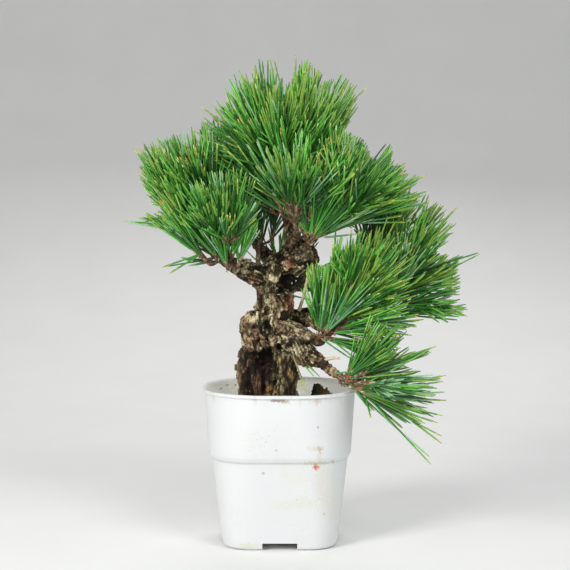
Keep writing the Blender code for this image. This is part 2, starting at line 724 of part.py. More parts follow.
def build_mass(name, paths, stems):
    mass = MASSES[name]
    rng = random.Random(mass["seed"] + 1)
    start, hub = stems[name]
    ahead = mass_root(mass, paths)[1]
    root_radius = LIMBS[mass["limb"]][-1][3] * STEM_SHARE
    bend = between(start, hub, 0.5) + ahead * (hub - start).length * STEM_BEND
    stem = [
        (*start, root_radius), (*(start + ahead * STEM_SQUARE), root_radius),
        (*bend, STEM_MIDDLE_RADIUS), (*hub, STEM_TIP_RADIUS),
    ]
    obj = add_object(name, tube(smooth_path(stem, BOUGH_RING_SPACING), STEM_SIDES), "needle_green")
    parts = bpy.data.collections.new(name + "_parts")
    bpy.context.scene.collection.children.link(parts)
    shoots = shoots_of(name, stems)
    needles = []
    for tip in mass["furthest"]:
        tip = Vector(tip)
        roots = [base + axis * FURTHEST_ROOT for _, base, axis in shoots]
        needles.append((min(roots, key=lambda root: (root - tip).length), tip))
    for leaves_at, base, axis in shoots:
        tip = base + axis * SHOOT_LENGTH
        shoot = [
            (*leaves_at, TWIG_RADIUS), (*base, TWIG_TIP_RADIUS),
            (*between(base, tip, SHOOT_WIDEST), SHOOT_RADIUS), (*tip, SHOOT_TIP_RADIUS),
        ]
        add_object("shoot", tube(shoot, SHOOT_SIDES), "needle_green", parts)
        shoot_needles(name, rng, base, axis, stems, paths, needles)
    for root, tip in needles:
        needle = tube([(*root, NEEDLE_RADIUS), (*tip, NEEDLE_TIP_RADIUS)], NEEDLE_SIDES)
        add_object("needle", needle, "needle_green", parts)
    apply_boolean(obj, "UNION", collection=parts, solver="MANIFOLD")
    keep_largest_shell(obj)
    return obj


def main():
    clear_scene()
    build_pot()
    build_soil()
    build_clod()
    paths = build_limbs()
    stems = {
        name: (mass_root(mass, paths)[0], Vector(mass["hub"])) for name, mass in MASSES.items()
    }
    for name in MASSES:
        build_mass(name, paths, stems)


main()
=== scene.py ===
import math
import random

import bmesh
import bpy
import numpy as np
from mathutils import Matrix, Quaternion, Vector, noise


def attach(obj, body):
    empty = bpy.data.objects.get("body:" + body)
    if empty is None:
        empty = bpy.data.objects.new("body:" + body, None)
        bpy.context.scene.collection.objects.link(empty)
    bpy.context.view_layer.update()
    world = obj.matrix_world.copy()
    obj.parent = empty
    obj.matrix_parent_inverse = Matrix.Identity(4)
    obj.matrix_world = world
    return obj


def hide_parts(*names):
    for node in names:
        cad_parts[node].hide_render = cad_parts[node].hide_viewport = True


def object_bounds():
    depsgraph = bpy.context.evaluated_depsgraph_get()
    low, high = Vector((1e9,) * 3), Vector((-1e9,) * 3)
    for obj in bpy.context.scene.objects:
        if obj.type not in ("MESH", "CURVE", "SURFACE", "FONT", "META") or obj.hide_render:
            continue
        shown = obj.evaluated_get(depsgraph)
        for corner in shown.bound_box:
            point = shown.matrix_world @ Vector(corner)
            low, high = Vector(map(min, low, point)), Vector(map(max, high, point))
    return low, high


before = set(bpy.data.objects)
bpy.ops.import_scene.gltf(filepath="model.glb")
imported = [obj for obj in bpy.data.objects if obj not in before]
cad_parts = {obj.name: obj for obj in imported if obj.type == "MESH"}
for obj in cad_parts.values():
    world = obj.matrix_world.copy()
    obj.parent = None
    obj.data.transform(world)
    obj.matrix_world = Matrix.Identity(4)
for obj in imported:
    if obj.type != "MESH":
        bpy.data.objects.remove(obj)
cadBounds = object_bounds()
goldenAngle = math.pi * (3 - math.sqrt(5))
noise.seed_set(7)    # without it noise_vector follows the clock, and the bark changes from run to run
print("frame loaded,", len(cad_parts), "nodes")


# Tables hold whole tenths of a millimetre, and whole hundredths for ways, widths, colours and strengths

def tenths(given):    # metres from whole numbers, in rows and tables alike; all else stays
    if isinstance(given, dict):
        return {label: tenths(row) for label, row in given.items()}
    if isinstance(given, (tuple, list)):
        return tuple(tenths(value) for value in given)
    return given / 10000 if isinstance(given, int) else given


def hundredths(row):
    return tuple(value / 100 for value in row)


# Pieces, tubes and curves

def addObject(name, data):
    made = bpy.data.objects.new(name, data)
    bpy.context.scene.collection.objects.link(made)
    return made


def finishPiece(name, mesh, materials, nodes=(), sharpAngle=None):
    for material in materials:
        mesh.materials.append(material)
    mesh.polygons.foreach_set("use_smooth", [True] * len(mesh.polygons))
    if sharpAngle:
        mesh.set_sharp_from_angle(angle=math.radians(sharpAngle))
    piece = addObject(name, mesh)
    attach(piece, "root")
    if nodes:
        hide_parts(*nodes)


def meshOf(name, bm):
    mesh = bpy.data.meshes.new(name)
    bm.to_mesh(mesh)
    bm.free()
    return mesh


def shapedMesh(target, kind, **settings):    # the object's mesh after one modifier
    modifier = target.modifiers.new("shape", kind)
    for label, value in settings.items():
        setattr(modifier, label, value)
    graph = bpy.context.evaluated_depsgraph_get()
    mesh = bpy.data.meshes.new_from_object(target.evaluated_get(graph))
    target.modifiers.clear()
    return mesh


def wrapTube(bm, rings):    # a grid wrapped round a row of rings, its seam merged, its ends filled
    sides = len(rings[0])
    made = bmesh.ops.create_grid(bm, x_segments=sides, y_segments=len(rings) - 1, size=1)["verts"]
    for i, vert in enumerate(made):
        ring, side = divmod(i, sides + 1)
        vert.co = rings[ring][side % sides]
    faces = list({face for vert in made for face in vert.link_faces})
    ends = made[:sides], made[-1 - sides:-1]
    bmesh.ops.weld_verts(bm, targetmap={made[i + sides]: made[i] for i in range(0, len(made), sides + 1)})
    for end in ends:
        faces.append(bmesh.ops.contextual_create(bm, geom=end)["faces"][0])
    bmesh.ops.recalc_face_normals(bm, faces=faces)


def smoothPath(places, spacing):    # a curve through (x, y, z, radius) places, points about spacing apart
    ends = [places[0], *places, places[-1]]
    found = []
    for before, start, end, after in zip(ends, ends[1:], ends[2:], ends[3:]):
        steps = max(1, round((Vector(end[:3]) - Vector(start[:3])).length / spacing))
        for step in range(steps):
            t = step / steps
            found.append(tuple(
                0.5 * (2 * b + (c - a) * t + (2 * a - 5 * b + 4 * c - d) * t**2
                       + (3 * b - a - 3 * c + d) * t**3)
                for a, b, c, d in zip(before, start, end, after)
            ))
    found.append(tuple(places[-1]))
    return found


def ringFrames(points):    # for each point of a path: its place, its direction and two sides
    places = [Vector(point[:3]) for point in points]
    frames = []
    side = Vector((1, 0, 0))
    for i, place in enumerate(places):
        ahead = (places[min(i + 1, len(places) - 1)] - places[max(i - 1, 0)]).normalized()
        side = (side - ahead * side.dot(ahead)).normalized()
        frames.append((place, ahead, side, ahead.cross(side)))
    return frames


def turnsOf(count, shift=0):
    return [2 * math.pi * (i + shift) / count for i in range(count)]


def ringPoints(place, side, other, radii):
    turns = turnsOf(len(radii))
    return [place + (side * math.cos(turn) + other * math.sin(turn)) * r for turn, r in zip(turns, radii)]


def between(start, end, share):
    return start + (end - start) * share


def ramp(value, low, high):    # 0 at low, 1 at high, smooth in between
    t = np.clip((value - low) / (high - low), 0, 1)
    return t * t * (3 - 2 * t)


# Node trees

def fillSockets(tree, node, sockets):    # by a link, a colour or a plain value
    for label, value in dict(sockets).items():
        socket = node.inputs[label]
        if isinstance(value, bpy.types.NodeSocket):
            tree.links.new(value, socket)
        else:
            socket.default_value = (*value, 1) if socket.type == "RGBA" else value


def addNode(tree, kind, sockets=(), **settings):
    made = tree.nodes.new("ShaderNode" + kind)
    for label, value in settings.items():
        setattr(made, label, value)
    fillSockets(tree, made, sockets)
    return made.outputs


def newGroup(name, inputs, outputs):
    group = bpy.data.node_groups.new(name, "ShaderNodeTree")
    for way, rows in (("INPUT", inputs), ("OUTPUT", outputs)):
        for label, kind, *value in rows:
            socket = group.interface.new_socket(label, in_out=way, socket_type="NodeSocket" + kind)
            if value:
                socket.default_value = value[0]
    return group, group.nodes.new("NodeGroupInput").outputs, group.nodes.new("NodeGroupOutput")


def newMaterial(name, colour, roughness, more=()):
    material = bpy.data.materials.new(name)
    material.use_nodes = True
    tree = material.node_tree
    shader = tree.nodes["Principled BSDF"]
    fillSockets(tree, shader, {"Base Color": colour, "Roughness": roughness})
    fillSockets(tree, shader, more)
    return material, tree, shader


def rampNode(tree, factor, stops):    # stops are (place, colour)
    made = tree.nodes.new("ShaderNodeValToRGB")
    fillSockets(tree, made, {"Fac": factor})
    elements = made.color_ramp.elements
    for i, (place, colour) in enumerate(stops):
        element = elements[i] if i < 2 else elements.new(place)
        element.position = place
        element.color = (*colour, 1)
    return made.outputs["Color"]


def mixColours(tree, factor, first, second, kind="MIX"):
    return addNode(tree, "Mix", {0: factor, 6: first, 7: second}, data_type="RGBA", blend_type=kind)[2]


def mathNode(tree, operation, first, second, clamp=False):
    return addNode(tree, "Math", {0: first, 1: second}, operation=operation, use_clamp=clamp)[0]


def product(tree, first, second):
    return mathNode(tree, "MULTIPLY", first, second)


def total(tree, first, second):
    return mathNode(tree, "ADD", first, second)


def centred(tree, value, strength):    # a noise's swing to both sides of its middle
    return product(tree, mathNode(tree, "SUBTRACT", value, 0.5), strength)


def mapRange(tree, value, low, high, first=0.0, last=1.0, kind="LINEAR"):
    sockets = {0: value, 1: low, 2: high, 3: first, 4: last}
    return addNode(tree, "MapRange", sockets, interpolation_type=kind)[0]


def vectorNode(tree, operation, first, second=(0, 0, 0)):
    made = addNode(tree, "VectorMath", {0: first, 1: second}, operation=operation)
    return made[1 if operation == "LENGTH" else 0]


def objectPoint(tree):
    return addNode(tree, "TexCoord")["Object"]


def noiseNode(tree, point, scale, detail, roughness=0.5):
    sockets = {"Vector": point, "Scale": scale, "Detail": detail, "Roughness": roughness}
    return addNode(tree, "TexNoise", sockets)["Fac"]


def darkened(tree, colour, light):    # a colour times one value
    grey = addNode(tree, "CombineXYZ", {0: light, 1: light, 2: light})[0]
    return mixColours(tree, 1.0, colour, grey, "MULTIPLY")


def makeGrainGroup():    # fine surface grain: a mask, and the normal that it bends
    group, given, out = newGroup(
        "surfaceGrain",
        [("Scale", "Float", 600.0), ("Strength", "Float", 0.3), ("Height", "Float", 0.0003),
         ("Stretch", "Vector", (1, 1, 1))],
        [("Mask", "Float"), ("Normal", "Vector")],
    )
    stretched = vectorNode(group, "MULTIPLY", objectPoint(group), given["Stretch"])
    grain = noiseNode(group, stretched, given["Scale"], 5.0, 0.62)
    bump = {"Strength": given["Strength"], "Distance": given["Height"], "Height": grain}
    fillSockets(group, out, {"Mask": grain, "Normal": addNode(group, "Bump", bump)["Normal"]})
    return group


def makeSpotGroup():    # a stain of one place: 1 at its middle, 0 past its radius, with a ragged edge
    group, given, out = newGroup(
        "stainSpot",
        [("Place", "Vector", (0, 0, 0)), ("Radius", "Float", 0.001), ("Squash", "Vector", (1, 1, 1)),
         ("Ragged", "Float", 0.5)],
        [("Mask", "Float")],
    )
    point = objectPoint(group)
    away = vectorNode(group, "SUBTRACT", point, given["Place"])
    away = vectorNode(group, "MULTIPLY", away, given["Squash"])
    share = mathNode(group, "DIVIDE", vectorNode(group, "LENGTH", away), given["Radius"])
    ragged = product(group, centred(group, noiseNode(group, point, 700.0, 3.0), given["Ragged"]), 3.0)
    fade = mapRange(group, total(group, share, ragged), 0.35, 1.0, 1.0, 0.0, "SMOOTHSTEP")
    fillSockets(group, out, {"Mask": fade})
    return group


grainGroup = makeGrainGroup()
spotGroup = makeSpotGroup()


def grainOf(tree, scale, strength, height, stretch=(1, 1, 1)):
    sockets = {"Scale": scale, "Strength": strength, "Height": height, "Stretch": stretch}
    return addNode(tree, "Group", sockets, node_tree=grainGroup)


# Pot

pot = {
    "height": 0.107, "footHalf": 0.0392, "shelfLowHalf": 0.0465, "shelfHighHalf": 0.0487, "topHalf": 0.0520,
    "lipHalf": 0.0536, "shelfLowZ": 0.0600, "shelfHighZ": 0.0640, "lipDrop": 0.0028, "lipRadius": 0.0012,
    "footCorner": 0.47, "rimCorner": 0.83, "cornerCurve": 1.5, "cornerSteps": 20, "sideSteps": 6,
    "footRadius": 0.0030, "wall": 0.0014, "innerRound": 0.0012, "innerDrop": 0.0010,
    "floorUnderZ": 0.0040, "floorThick": 0.0018, "shelfSoft": 0.0008, "wallStep": 0.0080,
    "notchWidth": 0.0236, "notchHeight": 0.0050, "notchRound": 0.0005,
    "ribThick": 0.0024, "bossRadius": 0.0070, "drainRadius": 0.0035, "drainOut": 0.0200, "sharp": 32,
    "insideFrom": 0.0001, "insideTo": 0.0014, "underIn": 0.5, "footIn": 0.6, "footTop": 1.6,
    "footArc": (-90, 0, 6), "lipArc": (-70, 100, 9),    # first and last degree, steps
}
potLooks = {    # white, share and depth of the light let through, grime, where specks come and how many
    "potWhite": ((0.70, 0.715, 0.725), 0.35, 0.0030, 0.16, (0.57, 0.68), 0.4),
    # the inside's white is lighter and creamier than the outside's: painted light for the glow through the
    # thin plastic, partly a creamy tint of its own
    "potInside": ((0.95, 0.92, 0.76), 1.0, 0.0120, 0.30, (0.44, 0.58), 0.85),
}
# dirt colours, and the grey of the painted shade line under the step
potDirtAndShade = {
    "grime": (0.60, 0.56, 0.40), "speck": (0.20, 0.15, 0.09), "dirt": (0.36, 0.29, 0.17),
    "stepShade": (0.36, 0.37, 0.36),
}
potSpots = {    # x, z, radius, squash in x and z, red, green, blue, strength
    "orangeHalo": (242, 582, 30, 100, 100, 66, 34, 20, 50),
    "orangeDot": (242, 582, 25, 100, 100, 62, 12, 5, 85),
    "orangeDotCore": (238, 580, 10, 100, 100, 22, 9, 6, 60),
    "ochreSpot": (264, 704, 30, 100, 100, 44, 35, 17, 60),
    "ochreSmear": (225, 708, 54, 80, 220, 56, 50, 34, 30),
    "ochreTail": (262, 650, 44, 150, 60, 56, 50, 34, 24),
    "stepDirt": (235, 606, 90, 80, 450, 40, 33, 20, 45),
    "greySpeckLow": (-112, 541, 14, 100, 100, 30, 28, 22, 55),
    "greySpeckHigh": (-24, 699, 13, 100, 100, 36, 30, 18, 50),
    "darkSpeck": (256, 853, 9, 100, 100, 14, 13, 14, 65),
    "stepSpeck": (356, 608, 17, 100, 100, 34, 30, 12, 45),
    "smallSpeck": (296, 252, 12, 100, 100, 36, 32, 20, 45),
    "lipStreak": (-10, 1036, 50, 62, 340, 20, 15, 8, 75),
    "lipStreakEnd": (35, 1026, 30, 90, 180, 34, 27, 13, 55),
    "lipStreakRight": (245, 1026, 38, 100, 170, 44, 36, 20, 45),
    "lowSmear": (10, 310, 85, 80, 240, 64, 64, 42, 24),
    "lowSmearRight": (165, 325, 95, 80, 180, 64, 62, 44, 22),
    "midSmear": (120, 520, 110, 70, 140, 64, 64, 52, 20),
    "rightSmear": (265, 470, 130, 220, 80, 60, 56, 40, 26),
    "rightEdge": (330, 390, 140, 180, 60, 64, 61, 46, 26),
    "footSmear": (-215, 30, 60, 60, 200, 50, 56, 28, 35),
}
innerSpots = {    # the same for the inside
    "algae": (160, 1030, 75, 140, 80, 50, 62, 20, 60),
    "algaeCore": (150, 1045, 48, 140, 90, 38, 56, 10, 55),
    "speckHigh": (-383, 1021, 15, 80, 120, 12, 9, 6, 85),
    "speckLeft": (-425, 1005, 11, 100, 100, 14, 11, 7, 80),
    "speckMiddle": (-326, 1019, 12, 100, 120, 12, 9, 6, 80),
    "speckLow": (-305, 984, 14, 150, 70, 14, 11, 7, 75), "smear": (-310, 985, 70, 100, 100, 46, 40, 24, 35),
}


def cornerShare(z):    # a corner's radius as a share of the half width
    return between(pot["footCorner"], pot["rimCorner"], (z / pot["height"]) ** pot["cornerCurve"])


def squareRing(half, z):    # a square outline with round corners, at height z
    corner = half * cornerShare(z)
    straight = half - corner
    ring = []
    for quarter, (sx, sy) in enumerate(((1, 1), (-1, 1), (-1, -1), (1, -1))):
        middle = Vector((straight * sx, straight * sy, z))
        for step in range(pot["cornerSteps"] + 1):
            turn = (quarter + step / pot["cornerSteps"]) * math.pi / 2
            ring.append(middle + Vector((math.cos(turn), math.sin(turn), 0)) * corner)
        along = Vector((-math.sin(turn), math.cos(turn), 0)) * 2 * straight
        start = ring[-1]
        ring += [start + along * step / pot["sideSteps"] for step in range(1, pot["sideSteps"])]
    return ring


def wallHalf(z):
    halves = [pot[mark] for mark in ("footHalf", "shelfLowHalf", "shelfHighHalf", "topHalf")]
    return float(np.interp(z, (0.0, pot["shelfLowZ"], pot["shelfHighZ"], pot["height"]), halves))


def arc(half, z, radius, first, last, steps):
    turns = [math.radians(between(first, last, i / steps)) for i in range(steps + 1)]
    return [(half + radius * math.cos(turn), z + radius * math.sin(turn)) for turn in turns]


def softWall(low, high, inset):    # the wall's half widths and heights, its step's corners rounded
    soft, step = pot["shelfSoft"], pot["wallStep"]
    levels = {low, high, *np.arange(low + step, high - step / 2, step).tolist()}
    for mark in ("shelfLowZ", "shelfHighZ"):
        levels.update(pot[mark] + d for d in (-soft, -soft / 2, 0, soft / 2, soft))
    levels = sorted(z for z in levels if low <= z <= high)
    return [(sum(wallHalf(z + d) for d in (-soft, 0, soft)) / 3 - inset, z) for z in levels]


def applyBoolean(target, operation, bm):
    cutter = addObject("cutter", meshOf("cutter", bm))
    target.data = shapedMesh(target, "BOOLEAN", operation=operation, object=cutter)
    bpy.data.objects.remove(cutter)


def roundedBox(size, place, turn=0.0, rounding=0.0):
    bm = bmesh.new()
    bmesh.ops.create_cube(bm, size=1)
    bmesh.ops.scale(bm, vec=size, verts=bm.verts)
    if rounding:
        bmesh.ops.bevel(
            bm, geom=bm.edges[:], offset=rounding, offset_type="OFFSET", affect="EDGES", segments=2,
            profile=0.5, material=-1,
        )
    bmesh.ops.rotate(bm, matrix=Quaternion((0, 0, 1), turn).to_matrix(), verts=bm.verts)
    bmesh.ops.translate(bm, vec=place, verts=bm.verts)
    return bm


def cylinder(radius, depth, place):
    bm = bmesh.new()
    bmesh.ops.create_cone(bm, cap_ends=True, segments=32, radius1=radius, radius2=radius, depth=depth)
    bmesh.ops.translate(bm, vec=place, verts=bm.verts)
    return bm


def buildPot(materials):
    foot, wall, lipRadius, footHalf = pot["footRadius"], pot["wall"], pot["lipRadius"], pot["footHalf"]
    floorTop = pot["floorUnderZ"] + pot["floorThick"]
    under = [(footHalf - wall - foot * pot["underIn"], pot["floorUnderZ"])]
    under.append((footHalf - wall - foot * pot["footIn"], 0.0))
    outer = arc(footHalf - foot, foot, foot, *pot["footArc"])
    outer += softWall(foot * pot["footTop"], pot["height"] - pot["lipDrop"], 0)
    lip = arc(pot["lipHalf"] - lipRadius, pot["height"] - lipRadius, lipRadius, *pot["lipArc"])
    inner = softWall(floorTop + pot["innerRound"], pot["height"] - pot["innerDrop"], wall)[::-1]
    inner.append((wallHalf(floorTop) - wall - pot["innerRound"], floorTop))
    bm = bmesh.new()
    wrapTube(bm, [squareRing(half, z) for half, z in under + outer + lip + inner])
    shell = addObject("potShell", meshOf("potShell", bm))
    ribHeight = pot["floorUnderZ"] + pot["floorThick"] / 2
    ribSize, ribPlace = (2 * (footHalf - wall / 2 - foot), pot["ribThick"], ribHeight), (0, 0, ribHeight / 2)
    for turn in (math.pi / 4, -math.pi / 4):
        applyBoolean(shell, "UNION", roundedBox(ribSize, ribPlace, turn))
    applyBoolean(shell, "UNION", cylinder(pot["bossRadius"], ribHeight, ribPlace))
    deep, high = 2 * (pot["lipHalf"] - footHalf + 4 * wall), 2 * pot["notchHeight"]
    for out in (-pot["lipHalf"], pot["lipHalf"]):
        for size, place in (
            ((pot["notchWidth"], deep, high), (0, out, 0)), ((deep, pot["notchWidth"], high), (out, 0, 0)),
        ):
            applyBoolean(shell, "DIFFERENCE", roundedBox(size, place, 0, pot["notchRound"]))
    for turn in turnsOf(4):
        place = (pot["drainOut"] * math.cos(turn), pot["drainOut"] * math.sin(turn), pot["floorUnderZ"])
        applyBoolean(shell, "DIFFERENCE", cylinder(pot["drainRadius"], 4 * pot["floorThick"], place))
    mesh = shell.data
    bpy.data.objects.remove(shell)
    mesh.materials.clear()
    finishPiece("potShell", mesh, materials, ["pot"], pot["sharp"])
    for face in mesh.polygons:
        x, y, z = face.center
        inward = x * face.normal.x + y * face.normal.y < 0 or face.normal.z > 0.7
        inside = floorTop - pot["insideFrom"] < z < pot["height"] - pot["insideTo"]
        face.material_index = int(inward and inside)


def paintSpots(tree, colour, spots, ragged, depth=None):    # with a depth, only on the front wall
    for x, z, radius, wide, high, red, green, blue, strength in spots.values():
        place, reach, squash = tenths((x, 0, z)), tenths(radius), hundredths((wide, 0, high))
        sockets = {"Place": place, "Radius": reach, "Squash": squash, "Ragged": ragged}
        mask = addNode(tree, "Group", sockets, node_tree=spotGroup)["Mask"]
        share = strength / 100
        if depth:
            share = mapRange(tree, depth, -0.030, -0.026, share, 0.0)
        colour = mixColours(tree, product(tree, mask, share), colour, hundredths((red, green, blue)))
    return colour


def potMaterial(name):
    white, through, throughDepth, grimy, specksWhere, specksShare = potLooks[name]
    material, tree, shader = newMaterial(name, white, 0.42, {
        "Subsurface Weight": through, "Subsurface Radius": (1.0, 1.0, 0.9), "Subsurface Scale": throughDepth,
    })
    point = objectPoint(tree)
    axes = addNode(tree, "SeparateXYZ", {0: point})
    broad = noiseNode(tree, point, 26.0, 6.0, 0.6)
    fine = noiseNode(tree, point, 240.0, 4.0, 0.7)
    grime = mapRange(tree, product(tree, broad, fine), 0.27, 0.42)
    colour = mixColours(tree, product(tree, grime, grimy), white, potDirtAndShade["grime"])
    cells = addNode(tree, "TexVoronoi", {"Vector": point, "Scale": 330.0, "Randomness": 1.0})["Distance"]
    specks = mapRange(tree, cells, 0.06, 0.22, 1.0, 0.0)
    specks = product(tree, specks, mapRange(tree, broad, *specksWhere, 0.0, specksShare))
    colour = mixColours(tree, specks, colour, potDirtAndShade["speck"])
    if name == "potInside":
        colour = paintSpots(tree, colour, innerSpots, 0.95)
        overSoil = product(tree, mapRange(tree, axes["Z"], 0.0895, 0.0965, 0.45, 0.0), fine)
        colour = mixColours(tree, overSoil, colour, potDirtAndShade["dirt"])
    else:
        streaks = noiseNode(tree, vectorNode(tree, "MULTIPLY", point, (1, 1, 0.12)), 260.0, 3.0)
        underLip = mapRange(tree, axes["Z"], 0.0975, 0.1042, 0.0, 0.30)
        underLip = product(tree, mapRange(tree, streaks, 0.54, 0.70), underLip)
        colour = mixColours(tree, underLip, colour, potDirtAndShade["dirt"])
        # a thin grey line under the step: painted shade
        stepShadeRise = mapRange(tree, axes["Z"], 0.0596, 0.0606)
        stepShade = product(tree, stepShadeRise, mapRange(tree, axes["Z"], 0.0606, 0.0618, 1.0, 0.0))
        stepShade = product(tree, stepShade, mapRange(tree, broad, 0.35, 0.6, 0.15, 0.65))
        colour = mixColours(tree, stepShade, colour, potDirtAndShade["stepShade"])
        colour = paintSpots(tree, colour, potSpots, 0.75, axes["Y"])
    fillSockets(tree, shader, {
        "Base Color": colour, "Roughness": mapRange(tree, fine, 0.3, 0.7, 0.34, 0.50),
        "Normal": grainOf(tree, 420.0, 0.10, 0.0002)["Normal"],
    })
    return material


buildPot([potMaterial(name) for name in potLooks])
print("pot built")


# Limbs and bark

limbPlaces = tenths({    # x, y, z and radius, from root to tip
    "trunk": (
        (-80, 10, 885, 238), (-83, 10, 1010, 208), (-85, 0, 1230, 194), (-88, 0, 1390, 176),
        (-87, 0, 1500, 170), (-54, 0, 1580, 142), (-40, 0, 1650, 130), (-40, 0, 1740, 126),
        (-22, 0, 1840, 116), (30, 0, 1920, 94), (78, 5, 2000, 70), (88, 10, 2080, 48), (72, 15, 2160, 40),
        (46, 15, 2260, 35), (30, 10, 2360, 31),
    ),
    "bough_left": (
        (-40, -10, 1790, 100), (-140, -30, 1835, 86), (-240, -40, 1880, 70), (-330, -40, 1920, 52),
        (-410, -20, 1965, 38), (-480, 10, 2020, 29),
    ),
    "bough_left_front": ((-290, -60, 1910, 40), (-340, -130, 1945, 31), (-360, -180, 1990, 24)),
    "bough_rear_left": ((0, 30, 1900, 70), (-90, 160, 1970, 50), (-170, 270, 2050, 34)),
    "bough_cut_arm": ((20, 0, 1890, 100), (110, -30, 1935, 87), (180, -55, 1965, 74), (245, -80, 1990, 62)),
    "bough_crown_right": ((150, -50, 1980, 46), (200, -85, 2060, 37), (245, -115, 2120, 27)),
    "bough_crown_front": ((72, 0, 2050, 44), (90, -110, 2090, 34), (110, -170, 2140, 25)),
    "bough_rear_right": ((60, 30, 1985, 62), (150, 160, 2050, 46), (240, 250, 2120, 32)),
    "bough_right": (
        (-20, -50, 1490, 80), (120, -95, 1450, 60), (200, -120, 1415, 45), (265, -140, 1400, 32),
    ),
    "bough_right_outer": (
        (-20, 50, 1530, 72), (180, 140, 1550, 54), (400, 180, 1590, 41), (610, 140, 1640, 31),
    ),
    "bough_right_rear": (
        (-40, 60, 1430, 72), (160, 280, 1490, 54), (400, 400, 1620, 41), (560, 430, 1770, 30),
    ),
    "bough_rear": ((-50, 40, 1600, 66), (-30, 200, 1630, 50), (20, 340, 1670, 34)),
    "bough_low_right": (
        (-30, -50, 1400, 96), (100, -120, 1370, 86), (190, -180, 1315, 64), (278, -245, 1262, 42),
        (350, -295, 1208, 31), (415, -340, 1170, 25),
    ),
})
ridges = tenths({    # ridges, columns and strands that stand out of the trunk's front
    "knuckle": ((-150, -60, 1560, 40), (-215, -70, 1545, 36), (-248, -60, 1520, 30)),
    "ridgeLeft": (
        (-225, -85, 1520, 30), (-238, -100, 1470, 24), (-218, -125, 1400, 25), (-197, -160, 1310, 26),
    ),
    "ridgeMiddle": (
        (-190, -120, 1500, 24), (-160, -165, 1450, 23), (-115, -190, 1400, 22), (-81, -195, 1350, 20),
    ),
    "burr": ((-30, -150, 1410, 44), (-30, -202, 1400, 41)),
    "belly": (
        (80, -130, 1350, 40), (120, -150, 1300, 46), (165, -175, 1270, 46), (215, -205, 1258, 38),
        (265, -238, 1250, 30),
    ),
    "ridgeBough": ((-60, -110, 1560, 32), (0, -150, 1500, 34), (70, -150, 1455, 36)),
    "columnRight": ((35, -80, 1350, 62), (30, -112, 1220, 68), (35, -130, 1080, 72), (40, -135, 888, 76)),
    "columnLeft": (
        (-245, -60, 1290, 34), (-262, -70, 1200, 37), (-250, -80, 1080, 34), (-240, -80, 888, 36),
    ),
    "columnMiddle": ((-150, -150, 1180, 34), (-140, -165, 1040, 42), (-130, -170, 888, 44)),
    "neckStrand": ((-135, -50, 1800, 32), (-130, -75, 1700, 34), (-115, -100, 1590, 40)),
    "neckStrandRight": ((-60, -80, 1820, 34), (-50, -97, 1720, 36), (-20, -115, 1620, 40)),
})
limbs = {**limbPlaces, **ridges}
limbNames = list(limbs)
soilLevel = limbPlaces["trunk"][0][2]
bark = {
    "sides": {"trunk": 72, "bough": 20, "ridge": 14},
    "spacing": {"trunk": 0.0020, "bough": 0.0022, "ridge": 0.0022},
    "flutes": ((3, 0.060, 0.6), (5, 0.045, 2.1), (9, 0.030, 0.4)), "fluteTwist": 9.0, "voxel": 0.00062,
    "rootLobes": (5, 0.16, 0.9), "rootLobesFade": 0.0140, "rootLobesFrom": 0.0903, "segment": 0.004,
    "fissure": 0.50, "depthShare": 0.135, "depthLeast": 0.00012, "depthMost": 0.0017,
    "lumpOften": 105, "lumpMost": 0.0021, "lumpShare": 0.13, "wobble": (330, 0.35, 800, 0.22),
    "rotTop": 0.131, "rotSoft": 0.006,
    "plate": (0.80, 0.0036, 0.8, 0.9), "cragg": (0.75, 0.0070, 1.3, 0.5),    # stretch, size, bends, bend
    "fibre": (0.34, 0.0024, 0.5, 0.4), "split": (0.42, 0.0080, 0.9, 0.5),
    "thin": (0.0026, 0.0060), "footFade": 0.0015, "ribFade": 0.003,
    "rotFrom": (-0.0085, -0.0035, 0.012), "rotTo": (-0.0268, -0.0244, 0.006),
    "ribs": (    # limb, from, to, gap, height, slant, how far the bark is calmed, relief
        ("bough_low_right", 0.0150, 0.0290, 0.0024, 0.00038, -0.5, 0.60, 0.30),
        ("belly", 0.0035, 0.0210, 0.0024, 0.00038, -0.5, 0.60, 0.30),
        ("bough_low_right", 0.0290, 0.0560, 0.0036, 0.00024, 0.0, 0.0, 0.22),
    ),
}
knobs = tenths({    # x, y, z, width and height over the bark, as a round swelling or hollow
    "leftKnuckle": (-250, -40, 1530, 48, 40), "kneeNotch": (-275, -30, 1475, 36, -34),
    "leftRib": (-265, -60, 1410, 34, 22), "leftDent": (-275, -20, 1360, 36, -22),
    "leftHip": (-270, -60, 1300, 40, 22), "leftBulge": (-290, -40, 1200, 52, 20),
    "leftFoot": (-285, -30, 1070, 60, -14), "neckDent": (-190, 0, 1700, 60, -20),
    "neckLump": (-180, -40, 1790, 50, 18), "neckRight": (110, -30, 1640, 50, 20),
    "kneeTop": (-215, -20, 1622, 64, -72), "forkKnob": (-80, -120, 1900, 45, 40),
    "rightFoot": (150, -60, 1050, 80, -26), "rearKnuckle": (-120, 180, 1480, 70, 40),
    "footCave": (-120, -190, 1275, 56, -56), "forkHollow": (60, -130, 1770, 65, -60),
})
